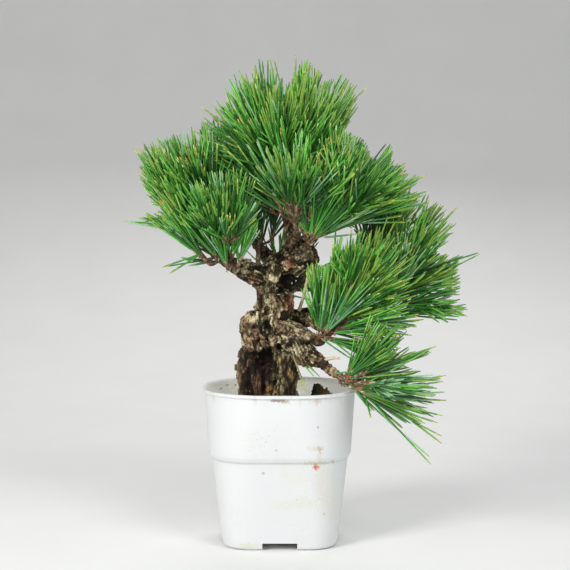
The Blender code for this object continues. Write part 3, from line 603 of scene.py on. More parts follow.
frontMarks = tenths({    # on the trunk's front: x, z, half width, half height, depth in, strength of painted shade
    "cave": (-104, 1298, 42, 48, 52, 1.0), "caveLow": (-142, 1246, 46, 40, 30, 0.95),
    "caveLeft": (-198, 1302, 52, 36, 22, 0.9), "caveTop": (-78, 1344, 30, 24, 28, 0.9),
    "caveRim": (-236, 1262, 22, 40, 12, 0.85), "burrPit": (-7, 1356, 23, 21, 34, 1.0),
    "midFissure": (-82, 1508, 24, 56, 34, 1.0), "burrSide": (-88, 1412, 16, 36, 26, 0.9),
    "kneePit": (-177, 1504, 28, 16, 26, 0.9), "forkHollow": (58, 1788, 82, 72, 50, 1.0),
    "caveCrack": (-109, 1130, 19, 130, 34, 0.9), "middleCrack": (-32, 1140, 15, 130, 26, 0.8),
    "rightCrack": (47, 1060, 16, 70, 24, 0.9), "leftCrack": (-215, 1100, 16, 110, 22, 0.8),
    "leftEdgeCrack": (-172, 1170, 12, 80, 20, 0.8), "kneeCrack": (-150, 1420, 12, 70, 20, 0.7),
    "neckCrack": (-128, 1660, 13, 85, 18, 0.8), "neckCrackRight": (-60, 1690, 9, 80, 14, 0.6),
    "boughSeam": (90, 1417, 46, 12, 24, 0.9), "boughSeamOuter": (170, 1392, 50, 13, 24, 0.9),
})
barkTints = tenths({    # attribute: x, y, z and reach of its places; the pale places on knobs are partly pale bark and partly painted highlight
    "ochre": (
        (-60, -200, 1070, 48), (-270, -60, 1190, 36), (-270, -60, 1100, 40), (70, -180, 1180, 36),
        (-10, -200, 1270, 26),
    ),
    "rust": (
        (70, -90, 1650, 66), (90, -40, 1740, 48), (-180, -70, 1820, 50), (260, -80, 1990, 60),
        (420, -350, 1140, 60), (-160, -150, 1430, 34), (70, -90, 1920, 50),
    ),
    "moss": (
        (-10, -130, 1640, 52), (-110, -110, 1730, 50), (-230, -80, 1400, 50), (120, -110, 1870, 46),
        (-160, -120, 1650, 40), (-230, -60, 1290, 36),
    ),
    "pale": (
        (-30, -240, 1405, 56), (-85, -155, 1930, 36), (-300, -60, 1930, 46), (150, -120, 1470, 90),
        (30, -150, 1470, 50), (160, -90, 1990, 60),
    ),
})


def trunkRadius(radius, angle, height):    # flutes all the way up, root lobes at the ground
    share = 1.0
    for count, depth, turn in bark["flutes"]:
        share += depth * math.cos(count * angle + turn + bark["fluteTwist"] * height * count / 3)
    count, depth, turn = bark["rootLobes"]
    fade = math.exp(-(height - bark["rootLobesFrom"]) / bark["rootLobesFade"])
    return radius * (share + depth * math.cos(count * angle + turn) * fade)


def pushKnobs(point, outward):
    moved = Vector(point)
    for *place, width, height in knobs.values():
        near = (point - Vector(place)).length / width
        moved += outward * height * math.exp(-near * near)
    return moved


def limbRings(name):
    kind = "trunk" if name == "trunk" else "ridge" if name in ridges else "bough"
    points = smoothPath(limbs[name], bark["spacing"][kind])
    turns = turnsOf(bark["sides"][kind])
    rings = []
    for (place, _, side, other), point in zip(ringFrames(points), points):
        if kind == "trunk":
            ring = ringPoints(place, side, other, [trunkRadius(point[3], turn, place.z) for turn in turns])
            rings.append([pushKnobs(spot, (spot - place).normalized()) for spot in ring])
        else:
            rings.append(ringPoints(place, side, other, [point[3]] * len(turns)))
    if kind == "trunk":
        for spot in rings[0]:
            spot.z = soilLevel
    return rings


def limbSegments():    # every straight stretch of every limb, as arrays
    rows = []
    for order, places in enumerate(limbs.values()):
        points = smoothPath(places, bark["segment"])
        along = 0.0
        frames = ringFrames(points)
        for (place, _, side, other), (ahead, *_), first, last in zip(frames, frames[1:], points, points[1:]):
            length = (ahead - place).length
            rows.append((*place, *ahead, *side, *other, first[3], last[3], along, length, order))
            along += length
    return np.array(rows)


segments = limbSegments()


def nearestLimb(points):    # for each point: stretch, share along it, and distance past the limb's surface
    best = np.full(len(points), 1e9)
    index = np.zeros(len(points), int)
    shares = np.zeros(len(points))
    for i, row in enumerate(segments):
        start, ahead = row[0:3], row[3:6] - row[0:3]
        share = np.clip((points - start) @ ahead / (ahead @ ahead), 0, 1)
        away = np.linalg.norm(points - start - share[:, None] * ahead, axis=1)
        past = away - (row[12] + (row[13] - row[12]) * share)
        closer = past < best
        best = np.where(closer, past, best)
        index = np.where(closer, i, index)
        shares = np.where(closer, share, shares)
    return index, shares, best


def voronoiCrack(spot, share):    # 0 in a fissure, 1 on a plate, and the plate's own number
    near, cells = noise.voronoi(spot)
    return min(1.0, (near[1] - near[0]) / share), noise.cell(cells[0] * 7.3)


def warped(spot, kind):    # a place in a pattern's own space
    stretch, size, bends, bend = bark[kind]
    made = Vector((spot.x, spot.y, spot.z * stretch)) / size
    return made + noise.noise_vector(made * bends) * bend


def barkAt(spot, rot):    # relief, crack, tone and lump at one place of a limb, given how rotten it is
    lump = noise.fractal(spot * bark["lumpOften"], 0.8, 2.0, 3)
    plate = warped(spot, "plate")
    crack, tone = voronoiCrack(plate, bark["fissure"])
    creased = abs(noise.fractal(warped(spot, "cragg"), 0.8, 2.1, 3))
    crack = min(1.0, crack * 0.45 + creased * 1.9)
    relief = 0.55 * (crack - 0.55) + 0.5 * (tone - 0.5) + 0.55 * noise.fractal(plate * 2.6, 0.5, 2.1, 4)
    if rot > 0:
        fibre, split = warped(spot, "fibre"), warped(spot, "split")
        thread, _ = voronoiCrack(fibre, 0.5)
        wide, wideTone = voronoiCrack(split, 0.16)
        rotten = 0.75 * (wide - 0.7) + 0.55 * (thread - 0.6) + 0.5 * noise.fractal(fibre * 0.6, 0.7, 2.0, 3)
        relief += (rotten - relief) * rot
        crack += (min(wide, thread * 1.4) - crack) * rot
        tone += (wideTone - tone) * rot
    return relief, crack, tone, lump


def skinMesh():    # all limbs grown into one skin
    bm = bmesh.new()
    for name in limbs:
        wrapTube(bm, limbRings(name))
    rough = addObject("barkRough", meshOf("barkRough", bm))
    mesh = shapedMesh(rough, "REMESH", mode="VOXEL", voxel_size=bark["voxel"])
    bpy.data.objects.remove(rough)
    return mesh


def buildBark(material):
    mesh = skinMesh()
    count = len(mesh.vertices)
    places, normals = np.zeros(count * 3), np.zeros(count * 3)
    mesh.vertices.foreach_get("co", places)
    mesh.vertex_normals.foreach_get("vector", normals)
    places, normals = places.reshape(-1, 3), normals.reshape(-1, 3)
    index, shares, _ = nearestLimb(places)
    rows = segments[index]
    limb = rows[:, 16]
    middle = rows[:, 0:3] + (rows[:, 3:6] - rows[:, 0:3]) * shares[:, None]
    radius = rows[:, 12] + (rows[:, 13] - rows[:, 12]) * shares
    along = rows[:, 14] + rows[:, 15] * shares
    offset = places - middle
    local = np.stack([(offset * rows[:, 6:9]).sum(1), (offset * rows[:, 9:12]).sum(1), along], 1)
    local += limb[:, None] * 0.37    # every limb has its own stretch of the patterns
    x, y, z = places.T
    rot = 1 - ramp(z, bark["rotTop"] - bark["rotSoft"], bark["rotTop"] + bark["rotSoft"])
    rot = rot * ((limb == 0) | (limb >= len(limbPlaces)))

    relief, crack, tone, lump = np.array([barkAt(Vector(spot), share) for spot, share in zip(local, rot)]).T
    broad, broadly, fine, finely = bark["wobble"]
    spots = [Vector(place) for place in places]
    wobble = np.array([noise.noise(p * broad) * broadly + noise.noise(p * fine) * finely for p in spots])
    depth = np.minimum(bark["depthMost"], radius * bark["depthShare"] + bark["depthLeast"])
    push = relief * depth * (1 + 0.5 * rot)
    push += lump * np.minimum(bark["lumpMost"], radius * bark["lumpShare"])
    for name, low, high, gap, tall, slant, calm, risen in bark["ribs"]:
        mine = (limb == limbNames.index(name)) * ramp(along, low, low + bark["ribFade"])
        mine = mine * (1 - ramp(along, high - bark["ribFade"], high))
        way = (x - z * slant) / math.hypot(1, slant) if slant else along
        wave = np.cos(2 * math.pi * way / gap + wobble * 3.2)
        push += mine * (wave * tall - calm * relief * depth)
        relief = relief * (1 - calm * mine) + mine * wave * risen
        crack = crack + mine * calm * (0.62 + 0.36 * wave - crack)
    # hollows and cracks of the trunk's front are darkened nearly to black: painted shade
    black = np.zeros(count)
    front = (normals[:, 1] < 0.35) & (y < middle[:, 1] + 0.002)
    for markX, markZ, halfWide, halfHigh, inward, darkness in frontMarks.values():
        away = np.sqrt(((x - markX) / halfWide) ** 2 + ((z - markZ) / halfHigh) ** 2) + wobble
        mask = (1 - ramp(away, 0.45, 1.15)) * front
        push -= mask * inward
        black = np.maximum(black, mask * darkness)
    push = push * ramp(z, soilLevel, soilLevel + bark["footFade"])
    places = places + normals * push[:, None]
    mesh.vertices.foreach_set("co", places.ravel())
    (*right, rightly), (*left, leftly) = bark["rotFrom"], bark["rotTo"]
    rotDark = rot * (1 - ramp(x + wobble * rightly, *right)) * ramp(x + wobble * leftly, *left)
    values = {
        "relief": relief + 0.35 * lump, "crack": crack, "tone": tone, "rot": rot, "black": black,
        "rotDark": rotDark, "thin": 1 - ramp(radius, *bark["thin"]),
    }
    for label, spots in barkTints.items():
        values[label] = np.zeros(count)
        for *place, reach in spots:
            away = np.linalg.norm(places - np.array(place), axis=1) / reach + wobble * 1.2
            values[label] = np.maximum(values[label], 1 - ramp(away, 0.35, 1.2))
    for label, numbers in values.items():
        mesh.attributes.new(label, "FLOAT", "POINT").data.foreach_set("value", numbers.astype(np.float32))
    mesh.update()
    mesh.materials.clear()
    finishPiece("barkSkin", mesh, [material], list(limbPlaces))
    print("bark built,", len(mesh.polygons), "faces")


barkLooks = {    # what each height of the relief looks like, and the tints with their strengths; near-black lows are partly painted shade, pale highs partly painted highlight
    "sound": (
        (0.0, (0.006, 0.005, 0.003)), (0.32, (0.036, 0.026, 0.013)), (0.54, (0.150, 0.120, 0.060)),
        (0.76, (0.38, 0.330, 0.195)), (1.0, (0.74, 0.67, 0.46)),
    ),
    "rotten": (
        (0.0, (0.012, 0.008, 0.004)), (0.35, (0.046, 0.031, 0.014)), (0.60, (0.110, 0.084, 0.042)),
        (0.82, (0.185, 0.150, 0.080)), (1.0, (0.32, 0.27, 0.15)),
    ),
    "rottenDark": (
        (0.0, (0.003, 0.002, 0.001)), (0.42, (0.009, 0.004, 0.002)), (0.70, (0.030, 0.012, 0.007)),
        (0.90, (0.070, 0.033, 0.016)), (1.0, (0.15, 0.085, 0.040)),
    ),
    "twig": (
        (0.0, (0.014, 0.008, 0.005)), (0.4, (0.070, 0.040, 0.022)), (0.7, (0.190, 0.125, 0.070)),
        (1.0, (0.42, 0.33, 0.22)),
    ),
    "tints": (
        ("ochre", (0.42, 0.265, 0.085), 0.62), ("rust", (0.30, 0.10, 0.055), 0.68),
        ("moss", (0.20, 0.21, 0.085), 0.60), ("pale", (0.62, 0.51, 0.32), 0.55),
        ("thin", (0.34, 0.20, 0.11), 0.45),
    ),
    "tone": (0.60, 0.52, 0.42), "shaded": (0.02, 0.012, 0.008), "fleck": (0.58, 0.52, 0.40),
    "crack": (0.020, 0.012, 0.008), "black": (0.006, 0.004, 0.003),
}


def barkMaterial():
    material, tree, shader = newMaterial("pineBark", (0.2, 0.14, 0.09), 0.92, {"Specular IOR Level": 0.25})

    def read(label):
        return addNode(tree, "Attribute", attribute_name=label)["Fac"]

    grain = grainOf(tree, 800.0, 0.8, 0.0006, (1, 1, 0.7))
    fleck = noiseNode(tree, objectPoint(tree), 260.0, 5.0, 0.7)
    height = total(tree, read("relief"), centred(tree, grain["Mask"], 1.9))
    height = mapRange(tree, total(tree, height, centred(tree, fleck, 1.1)), -0.7, 0.65)
    kinds = "sound", "rotten", "rottenDark"
    colour, light, dark = (rampNode(tree, height, barkLooks[kind]) for kind in kinds)
    toned = mapRange(tree, read("tone"), 0.0, 1.0, 0.0, 0.55)
    colour = mixColours(tree, toned, colour, barkLooks["tone"], "MULTIPLY")
    colour = mixColours(tree, read("rot"), colour, mixColours(tree, read("rotDark"), light, dark))
    shade = total(tree, product(tree, height, 1.15), 0.12)
    for label, tint, strength in barkLooks["tints"]:
        lit = mixColours(tree, shade, barkLooks["shaded"], tint)
        mask = mathNode(tree, "MULTIPLY", read(label), total(tree, fleck, strength - 0.35), True)
        colour = mixColours(tree, mask, colour, lit)
    # pale flecks only on raised places: partly pale bark, partly painted highlight
    flecked = product(tree, mapRange(tree, fleck, 0.60, 0.72, 0.0, 0.5), height)
    colour = mixColours(tree, flecked, colour, barkLooks["fleck"])
    # cracks darkened nearly to black: partly the bark's dark fissures, partly painted shade
    inCrack = mapRange(tree, read("crack"), 0.05, 0.58, 0.82, 0.0)
    colour = mixColours(tree, inCrack, colour, barkLooks["crack"])
    # painted shade in the front's hollows and cracks
    colour = mixColours(tree, read("black"), colour, barkLooks["black"])
    roughness = mapRange(tree, grain["Mask"], 0.3, 0.7, 0.80, 0.98)
    fillSockets(tree, shader, {"Base Color": colour, "Normal": grain["Normal"], "Roughness": roughness})
    return material


buildBark(barkMaterial())


# The camera and the lights, which the foliage's open windows look from

studio = {
    "floorZ": -0.0002, "floorSize": 5.0, "sweepSteps": 160, "sweepFrom": 0.6, "sweepRadius": 1.5,
    "world": (0.93, 0.94, 0.95), "worldPower": 0.33,
    "lights": (    # place, size, power, colour
        ((-0.92, -1.06, 0.80), 0.50, 15.5, (1.0, 0.99, 0.97)),
        ((0.65, -0.95, 1.05), 0.60, 7.2, (0.98, 0.99, 1.0)),
        ((0.10, 0.90, 0.95), 0.80, 4.4, (1.0, 1.0, 1.0)), ((0.05, -1.45, 0.42), 0.35, 3.2, (1.0, 0.99, 0.96)),
    ),
    "cameraPlace": (0.0035, -1.0, 0.2367), "cameraPitch": 86.6, "lens": 91.1, "aim": (0.0, 0.0, 0.17),
}


# Foliage: each mass grows by the part's own rule, and is carried on to finer twigs and single needles

masses = {    # lengths in tenths of a millimetre, lean in hundredths, spread in degrees
    "crown_top": dict(
        limb="trunk", hub=(30, 0, 2540), dome=(300, 260, 240), lean=(0, -5, 100), spread=72, shoots=15,
        needle=480, seed=11, pairs=9, furthest=((-540, -100, 3000), (110, 50, 3366), (610, 0, 3145)),
    ),
    "crown_right": dict(
        limb="bough_crown_right", hub=(420, -160, 2220), dome=(220, 180, 180), lean=(50, -25, 100),
        spread=76, shoots=11, needle=460, seed=23, tones=(7, 6, 2, 1, 2),
        furthest=((990, -250, 2530), (910, -350, 2370)),
    ),
    "crown_front": dict(
        limb="bough_crown_front", hub=(100, -260, 2230), dome=(160, 120, 120), lean=(5, -30, 100),
        spread=70, shoots=8, needle=450, seed=29, furthest=(), pairs=7,
    ),
    "left_outer": dict(
        limb="bough_left", hub=(-500, 10, 2210), dome=(180, 200, 180), lean=(-35, 0, 100), spread=72,
        shoots=10, needle=430, seed=35, tones=(6, 6, 2, 2, 1),
        furthest=((-1080, -100, 2216), (-1000, -50, 2710)),
    ),
    "left_front": dict(
        limb="bough_left_front", hub=(-370, -250, 2060), dome=(120, 90, 80), lean=(0, -35, 100), spread=66,
        shoots=6, needle=370, seed=47, tones=(6, 5, 1, 1, 0),
        furthest=((-790, -300, 1910), (-740, -360, 1870)),
    ),
    "rear_left": dict(
        limb="bough_rear_left", hub=(-240, 400, 2200), dome=(230, 200, 180), lean=(-20, 50, 100), spread=74,
        shoots=8, needle=450, seed=59, furthest=(),
    ),
    "rear_right": dict(
        limb="bough_rear_right", hub=(360, 370, 2240), dome=(230, 200, 180), lean=(30, 50, 100), spread=74,
        shoots=8, needle=450, seed=61, furthest=(),
    ),
    "right_front": dict(
        limb="bough_right", hub=(530, -170, 1740), dome=(120, 110, 110), lean=(35, -30, 90), spread=84,
        shoots=13, needle=410, seed=73, bare=0.1, pairs=7, tones=(2, 3, 6, 1, 7),
        furthest=((540, -350, 1270), (380, -250, 2050), (820, -250, 2080)),
    ),
    "right_outer": dict(
        limb="bough_right_outer", hub=(800, 70, 1720), dome=(150, 150, 170), lean=(100, -10, 65), spread=72,
        shoots=9, needle=430, seed=85, pairs=7,
        furthest=((1386, 0, 1987), (1310, 50, 1550), (1225, 0, 2310)),
    ),
    "right_rear": dict(
        limb="bough_right_rear", hub=(680, 400, 1920), dome=(190, 180, 150), lean=(30, 25, 100), spread=72,
        shoots=7, needle=430, seed=97, pairs=8, furthest=((1060, 300, 2400),),
    ),
    "rear": dict(
        limb="bough_rear", hub=(60, 480, 1730), dome=(180, 140, 140), lean=(20, 100, 50), spread=62,
        shoots=6, needle=400, seed=103, furthest=(),
    ),
    "low_right": dict(
        limb="bough_low_right", hub=(500, -410, 1130), dome=(100, 80, 100), lean=(100, -15, 5), spread=68,
        shoots=6, needle=480, seed=109, pairs=6, slim=0.5, shootLong=0.006, sideTwigs=(0, 0),
        furthest=((1010, -450, 600), (1080, -450, 740), (1050, -350, 1380), (600, -570, 930)),
    ),
}
for mass in masses.values():
    mass.update({label: tenths(mass[label]) for label in ("hub", "dome", "needle", "furthest")})
    mass["lean"] = Vector(hundredths(mass["lean"])).normalized()
sprays = {    # further shoots as the photo shows them: foot, way, needle length, pairs, width, tone
    "crown_top": (
        (-60, -60, 2400, -70, -8, 70, 520, 12, 55, "mid"),
        (-100, -80, 2560, -66, -10, 75, 500, 14, 60, "mid"),
        (-80, -100, 2640, -50, -10, 86, 500, 14, 65, "bright"),
        (-60, -80, 2680, -22, -8, 97, 520, 14, 60, "bright"),
        (10, -120, 2540, -14, -15, 98, 460, 16, 75, "bright"),
        (70, -150, 2480, 10, -15, 98, 420, 10, 80, "bright"),
        (100, -40, 2740, 3, -5, 100, 500, 16, 55, "bright"),
        (170, -20, 2700, 12, -5, 99, 500, 14, 50, "bright"),
        (200, -40, 2640, 36, -5, 93, 500, 14, 60, "mid"), (220, -20, 2580, 60, 0, 80, 480, 12, 55, "olive"),
        (180, -60, 2500, 45, -5, 89, 460, 12, 70, "deep"), (-20, 60, 2260, -75, 5, 65, 440, 12, 80, "deep"),
        (-60, 40, 2380, -85, 5, 50, 400, 10, 80, "deep"), (0, -80, 2360, -40, -10, 90, 460, 12, 70, "deep"),
    ),
    "crown_right": (
        (195, -250, 2085, -10, -12, 100, 500, 16, 65, "bright"),
        (205, -255, 2080, 32, -15, 94, 530, 18, 65, "bright"),
        (215, -250, 2080, 72, -15, 70, 530, 14, 60, "mid"),
        (180, -220, 2100, -40, -12, 92, 420, 12, 60, "deep"),
        (240, -230, 2170, 28, -15, 95, 500, 18, 65, "mid"),
        (270, -220, 2170, 60, -15, 80, 500, 18, 70, "deep"),
        (330, -100, 2330, 35, -5, 94, 460, 14, 60, "deep"), (420, -80, 2330, 62, 0, 78, 480, 12, 55, "mid"),
        (450, -120, 2260, 80, 0, 58, 480, 12, 55, "olive"),
        (400, -200, 2180, 90, -5, 42, 480, 12, 55, "mid"),
        (260, -260, 2120, 85, -20, 45, 300, 6, 60, "grey"), (300, -60, 2300, 5, 0, 100, 460, 12, 70, "mid"),
        (500, -320, 2310, 25, -90, 40, 450, 12, 60, "deep"),
    ),
    "crown_front": (
        (150, -240, 2160, 0, -12, 100, 500, 20, 60, "bright"),
        (90, -240, 2220, -45, -10, 90, 440, 12, 60, "mid"),
        (60, -340, 2330, -5, -90, 45, 450, 12, 60, "mid"),
    ),
    "left_outer": (
        (-500, -130, 2010, -50, -12, 86, 500, 16, 60, "mid"),
        (-560, -100, 2060, -60, -10, 78, 480, 14, 60, "mid"),
        (-680, -80, 2190, -55, -8, 83, 440, 16, 65, "mid"),
        (-660, -60, 2250, -35, -8, 93, 460, 16, 65, "mid"),
        (-640, -20, 2330, -22, -5, 97, 440, 16, 60, "grey"),
        (-700, 20, 2320, -50, 0, 87, 440, 12, 50, "mid"), (-560, 0, 2350, -5, 0, 100, 460, 16, 60, "mid"),
        (-480, -40, 2280, 5, -5, 100, 440, 10, 60, "deep"),
        (-700, -60, 2170, -92, 0, 38, 220, 5, 50, "olive"),
    ),
    "left_front": (
        (-380, -260, 1950, -4, -10, 98, 360, 16, 55, "bright"),
        (-330, -250, 1960, 22, -12, 97, 340, 16, 80, "bright"),
        (-440, -220, 1970, -60, -12, 80, 480, 14, 50, "mid"),
        (-430, -220, 1945, -100, -15, 12, 240, 4, 40, "mid"),
        (-350, -280, 1895, -32, -15, 94, 380, 14, 55, "bright"),
        (-460, -250, 1925, -78, -15, 62, 400, 12, 50, "mid"),
        (-290, -230, 1900, 30, -15, 93, 300, 8, 60, "bright"),
        (-420, -300, 1960, -30, -20, 92, 360, 14, 60, "bright"),
        (-500, -270, 1960, -62, -15, 76, 400, 12, 55, "mid"),
    ),
    "rear_left": (
        (-130, 220, 2040, -15, 0, 99, 360, 14, 80, "deep"),
        (-60, 260, 2080, 20, 0, 98, 340, 12, 80, "deep"),
    ),
    "right_front": (
        (275, -230, 1440, -12, -10, 100, 440, 16, 55, "bright"),
        (350, -240, 1660, 6, -8, 100, 340, 14, 40, "bright"),
        (420, -230, 1640, 22, -10, 97, 380, 14, 50, "bright"),
        (540, -200, 1700, 30, -10, 95, 420, 12, 50, "olive"),
        (300, -240, 1435, 88, -15, -30, 400, 8, 60, "mid"),
        (300, -240, 1445, 60, -15, 78, 440, 12, 60, "grey"),
        (290, -220, 1480, 5, -10, 100, 420, 18, 50, "bright"),
        (370, -220, 1560, 28, -12, 95, 400, 18, 75, "bright"),
        (440, -200, 1540, 85, -15, 50, 400, 14, 70, "mid"),
        (330, -220, 1460, 98, -10, 5, 380, 10, 50, "mid"),
        (265, -230, 1440, 35, -12, 93, 400, 12, 80, "bright"),
        (400, -220, 1490, 92, -12, 25, 400, 12, 60, "bright"),
        (550, -180, 1530, 97, -10, 2, 340, 10, 60, "mid"),
        (560, -140, 1700, 60, -10, 79, 380, 12, 60, "mid"),
        (500, -180, 1760, 35, -10, 93, 260, 8, 70, "olive"),
    ),
    "right_outer": (
        (750, -20, 1570, 99, -5, 5, 500, 16, 50, "mid"), (770, -80, 1660, 35, -10, 93, 360, 18, 70, "grey"),
        (860, 0, 1720, 90, 0, 42, 420, 14, 50, "olive"), (800, -40, 1620, 93, -5, 30, 440, 14, 55, "mid"),
        (800, 100, 1860, 75, 0, 66, 500, 12, 50, "olive"),
    ),
    "right_rear": (
        (740, 250, 1960, 35, 0, 94, 460, 16, 50, "olive"),
        (660, 280, 1900, 10, 0, 100, 440, 12, 70, "deep"), (900, 250, 2000, 60, 0, 80, 360, 8, 50, "olive"),
    ),
    "low_right": (
        (440, -370, 1160, 93, -10, 28, 520, 16, 50, "grey"),
        (450, -380, 1145, 98, -12, -10, 540, 16, 45, "grey"),
        (440, -365, 1165, 72, -12, 66, 400, 14, 70, "mid"),
        (440, -390, 1135, 84, -20, -42, 500, 12, 45, "grey"),
        (400, -360, 1150, 66, -25, -62, 300, 10, 45, "grey"),
        (560, -380, 1180, 90, -5, 38, 400, 12, 50, "grey"),
        (560, -370, 1200, 75, -5, 60, 240, 14, 90, "bright"),
        (450, -340, 1200, 62, 0, 78, 360, 14, 50, "mid"),
        (600, -440, 1130, 35, -93, 10, 360, 10, 60, "grey"),
    ),
}
looseNeedles = {    # single needles: root, tip, curve up, tone
    "crown_right": (
        (300, -270, 2110, 517, -300, 2134, 2, "grey"), (239, -260, 2100, 935, -300, 2389, 2, "olive"),
        (245, -265, 2115, 500, -300, 2225, 3, "grey"), (205, -270, 2290, 420, -320, 2450, 2, "grey"),
        (235, -260, 2140, 425, -300, 2300, 2, "olive"),
    ),
    "left_outer": (
        (-660, -100, 2140, -1062, -120, 2216, 2, "grey"), (-640, -80, 2170, -835, -100, 2290, 2, "grey"),
        (-660, -90, 2180, -900, -100, 2235, 2, "mid"),
    ),
    "right_front": (
        (279, -240, 1425, 508, -280, 1272, 5, "grey"), (300, -240, 1430, 875, -280, 1228, 3, "olive"),
        (300, -240, 1425, 450, -280, 1365, 2, "bright"), (310, -240, 1435, 800, -280, 1365, 2, "mid"),
    ),
    "low_right": (
        (520, -400, 1125, 1110, -430, 1195, 10, "olive"), (520, -400, 1120, 1095, -400, 1150, 12, "mid"),
        (510, -405, 1115, 1100, -450, 1085, 14, "grey"), (520, -410, 1110, 970, -430, 1115, 16, "mid"),
        (520, -400, 1115, 1115, -400, 1022, 14, "grey"), (510, -410, 1110, 1020, -380, 1010, 15, "grey"),
        (510, -420, 1105, 920, -460, 1035, 12, "grey"), (510, -410, 1110, 1090, -440, 925, 14, "mid"),
        (510, -400, 1105, 980, -400, 925, 10, "grey"), (505, -420, 1105, 1055, -460, 880, 14, "grey"),
        (505, -430, 1110, 850, -480, 895, 5, "grey"), (505, -420, 1105, 1080, -450, 790, 6, "olive"),
        (500, -430, 1100, 1000, -450, 650, 5, "grey"), (495, -450, 1105, 610, -480, 960, 2, "grey"),
        (500, -450, 1105, 630, -470, 962, 2, "mid"), (360, -340, 1195, 600, -380, 1230, 3, "grey"),
    ),
}
outline = tenths((    # the foliage's outline in the photo, at the tree's front, from its lower left round
    (-360, 1860), (-500, 1930), (-790, 1880), (-790, 1925), (-560, 1990), (-690, 2050), (-720, 2130),
    (-1090, 2205), (-1080, 2240), (-900, 2270), (-870, 2330), (-1040, 2560), (-960, 2610), (-1000, 2720),
    (-900, 2760), (-800, 2800), (-660, 2860), (-560, 2880), (-540, 3000), (-420, 3060), (-370, 3250),
    (-250, 3300), (-150, 3340), (-10, 3345), (50, 3180), (115, 3370), (240, 3310), (310, 3230), (395, 3260),
    (470, 3230), (560, 3200), (610, 3140), (590, 3010), (460, 2880), (500, 2810), (575, 2800), (640, 2640),
    (720, 2780), (790, 2740), (780, 2620), (890, 2640), (860, 2550), (1010, 2535), (900, 2440),
    (1020, 2430), (1120, 2400), (1130, 2330), (1210, 2325), (1170, 2220), (1280, 2225), (1160, 2070),
    (1080, 2000), (1380, 2010), (1390, 1980), (1240, 1940), (1220, 1840), (1260, 1770), (1220, 1700),
    (1280, 1660), (1310, 1575), (1220, 1530), (1040, 1500), (920, 1440), (850, 1340), (920, 1330),
    (1050, 1400), (1090, 1310), (850, 1220), (1120, 1210), (1120, 1020), (1100, 920), (1100, 770),
    (1010, 635), (980, 640), (600, 940), (490, 1060), (350, 1180), (240, 1400), (140, 1600), (170, 1900),
    (280, 2050), (160, 2030), (0, 2040), (-160, 1980),
))
openSky = tenths((    # windows where the photo shows sky: left, right, low, high
    (260, 345, 1930, 2070), (230, 420, 1220, 1360),
))
behindLimbs = tenths((    # windows where the trunk hides what stands behind it
    (-250, 110, 1000, 1560), (-160, 100, 1560, 1860), (-200, 200, 1860, 2000),
))
growth = {
    "slim": 0.78, "cutKept": 0.42, "behind": 0.002, "inner": 0.70, "longer": 0.90, "frontDepth": 0.985,
    "insideOutline": 0.0030, "footOutside": 0.0060, "twigOutside": 0.0040, "hiddenFrom": 0.0120,
    "pathSpacing": 0.0070, "trunkPathSpacing": 0.0052, "clear": 0.0003, "bare": 0.80, "lastTwig": 0.98,
    "reach": (0.75, 1.05), "shrink": 0.80, "spaceGap": 0.0054, "gather": 0.80, "shootLength": 0.0130,
    "stemSunk": 0.0030, "stemSquare": 0.0020, "stemBend": 0.08, "stemMiddle": 0.0022, "stemTip": 0.0019,
    "twigRadius": 0.0015, "twigTip": 0.0012, "shootRadius": 0.0015, "shootTip": 0.0009,
    "sideTwigs": (1, 2), "sideLeaves": (0.25, 0.95), "sideOpen": (30, 62), "sideReach": (0.0050, 0.0090),
    "sideLength": 0.0090, "sideNeedle": (0.74, 0.95), "sideSpace": 0.0010, "sideGather": 0.6, "sideSlim": 0.9,
    "furthestRoot": 0.0050, "mingle": 0.0120, "limbGap": 0.0009, "potGap": 0.0012, "shortest": 0.55,
    "samples": 14, "twigSides": 9, "twigSpacing": 0.0011, "twigRough": 0.16, "uncut": 0.97,
    "budChance": 0.45, "budSunk": 0.0012, "budLength": (0.0050, 0.0085), "budWidth": (0.0011, 0.0015),
}
needle = {
    "rings": (0.0, 0.075, 0.38, 0.74, 0.93, 1.0), "girths": (0.70, 1.18, 1.0, 1.0, 0.92, 0.42),
    "sides": 5, "underside": -0.45, "half": 0.00070, "halfChance": (0.88, 1.10), "wide": (0.85, 1.20),
    "pairs": 12, "sidePairs": 7, "openFoot": 36, "openTip": 4, "openLeast": 2.0, "openChance": 8,
    "openCurve": 0.8, "apart": (1.0, 4.0), "pairLengths": (0.97, 1.03), "ownTone": 0.72,
    "lengths": (0.72, 1.12), "bend": (0.0, 0.065), "lift": 0.02, "uprightDepth": 0.40, "uprightGather": 0.25,
    "yellowing": ((0.35, 0.62), (1.0, 0.20)),
    "ends": (("green", 1.0), ("lime", 0.42), ("pale", 0.34), ("yellow", 0.16), ("ochre", 0.0)),
}
needleTones = {    # lower and upper colour of each kind of spray, and how often it comes; the darker lower colour is painted shade towards the needles' feet
    # deep, mid and bright are one green at three lightnesses: partly the needles' own variation, partly
    # painted shade and light, deep on rear and inner shoots, bright on front ones
    "deep": ((0.015, 0.080, 0.011), (0.042, 0.185, 0.026), 3),
    "mid": ((0.029, 0.145, 0.016), (0.090, 0.325, 0.042), 5),
    "bright": ((0.046, 0.250, 0.022), (0.160, 0.475, 0.068), 5),
    "grey": ((0.085, 0.260, 0.095), (0.260, 0.480, 0.240), 1),
    "olive": ((0.075, 0.180, 0.020), (0.230, 0.400, 0.055), 3),
}
needleEnds = {    # sheath, and the tips that aren't green
    "sheath": (0.30, 0.185, 0.085), "yellow": (0.46, 0.46, 0.070), "ochre": (0.42, 0.33, 0.080),
    "pale": (0.42, 0.55, 0.27), "lime": (0.20, 0.37, 0.050),
}
toneNames, endNames = list(needleTones), list(needleEnds)


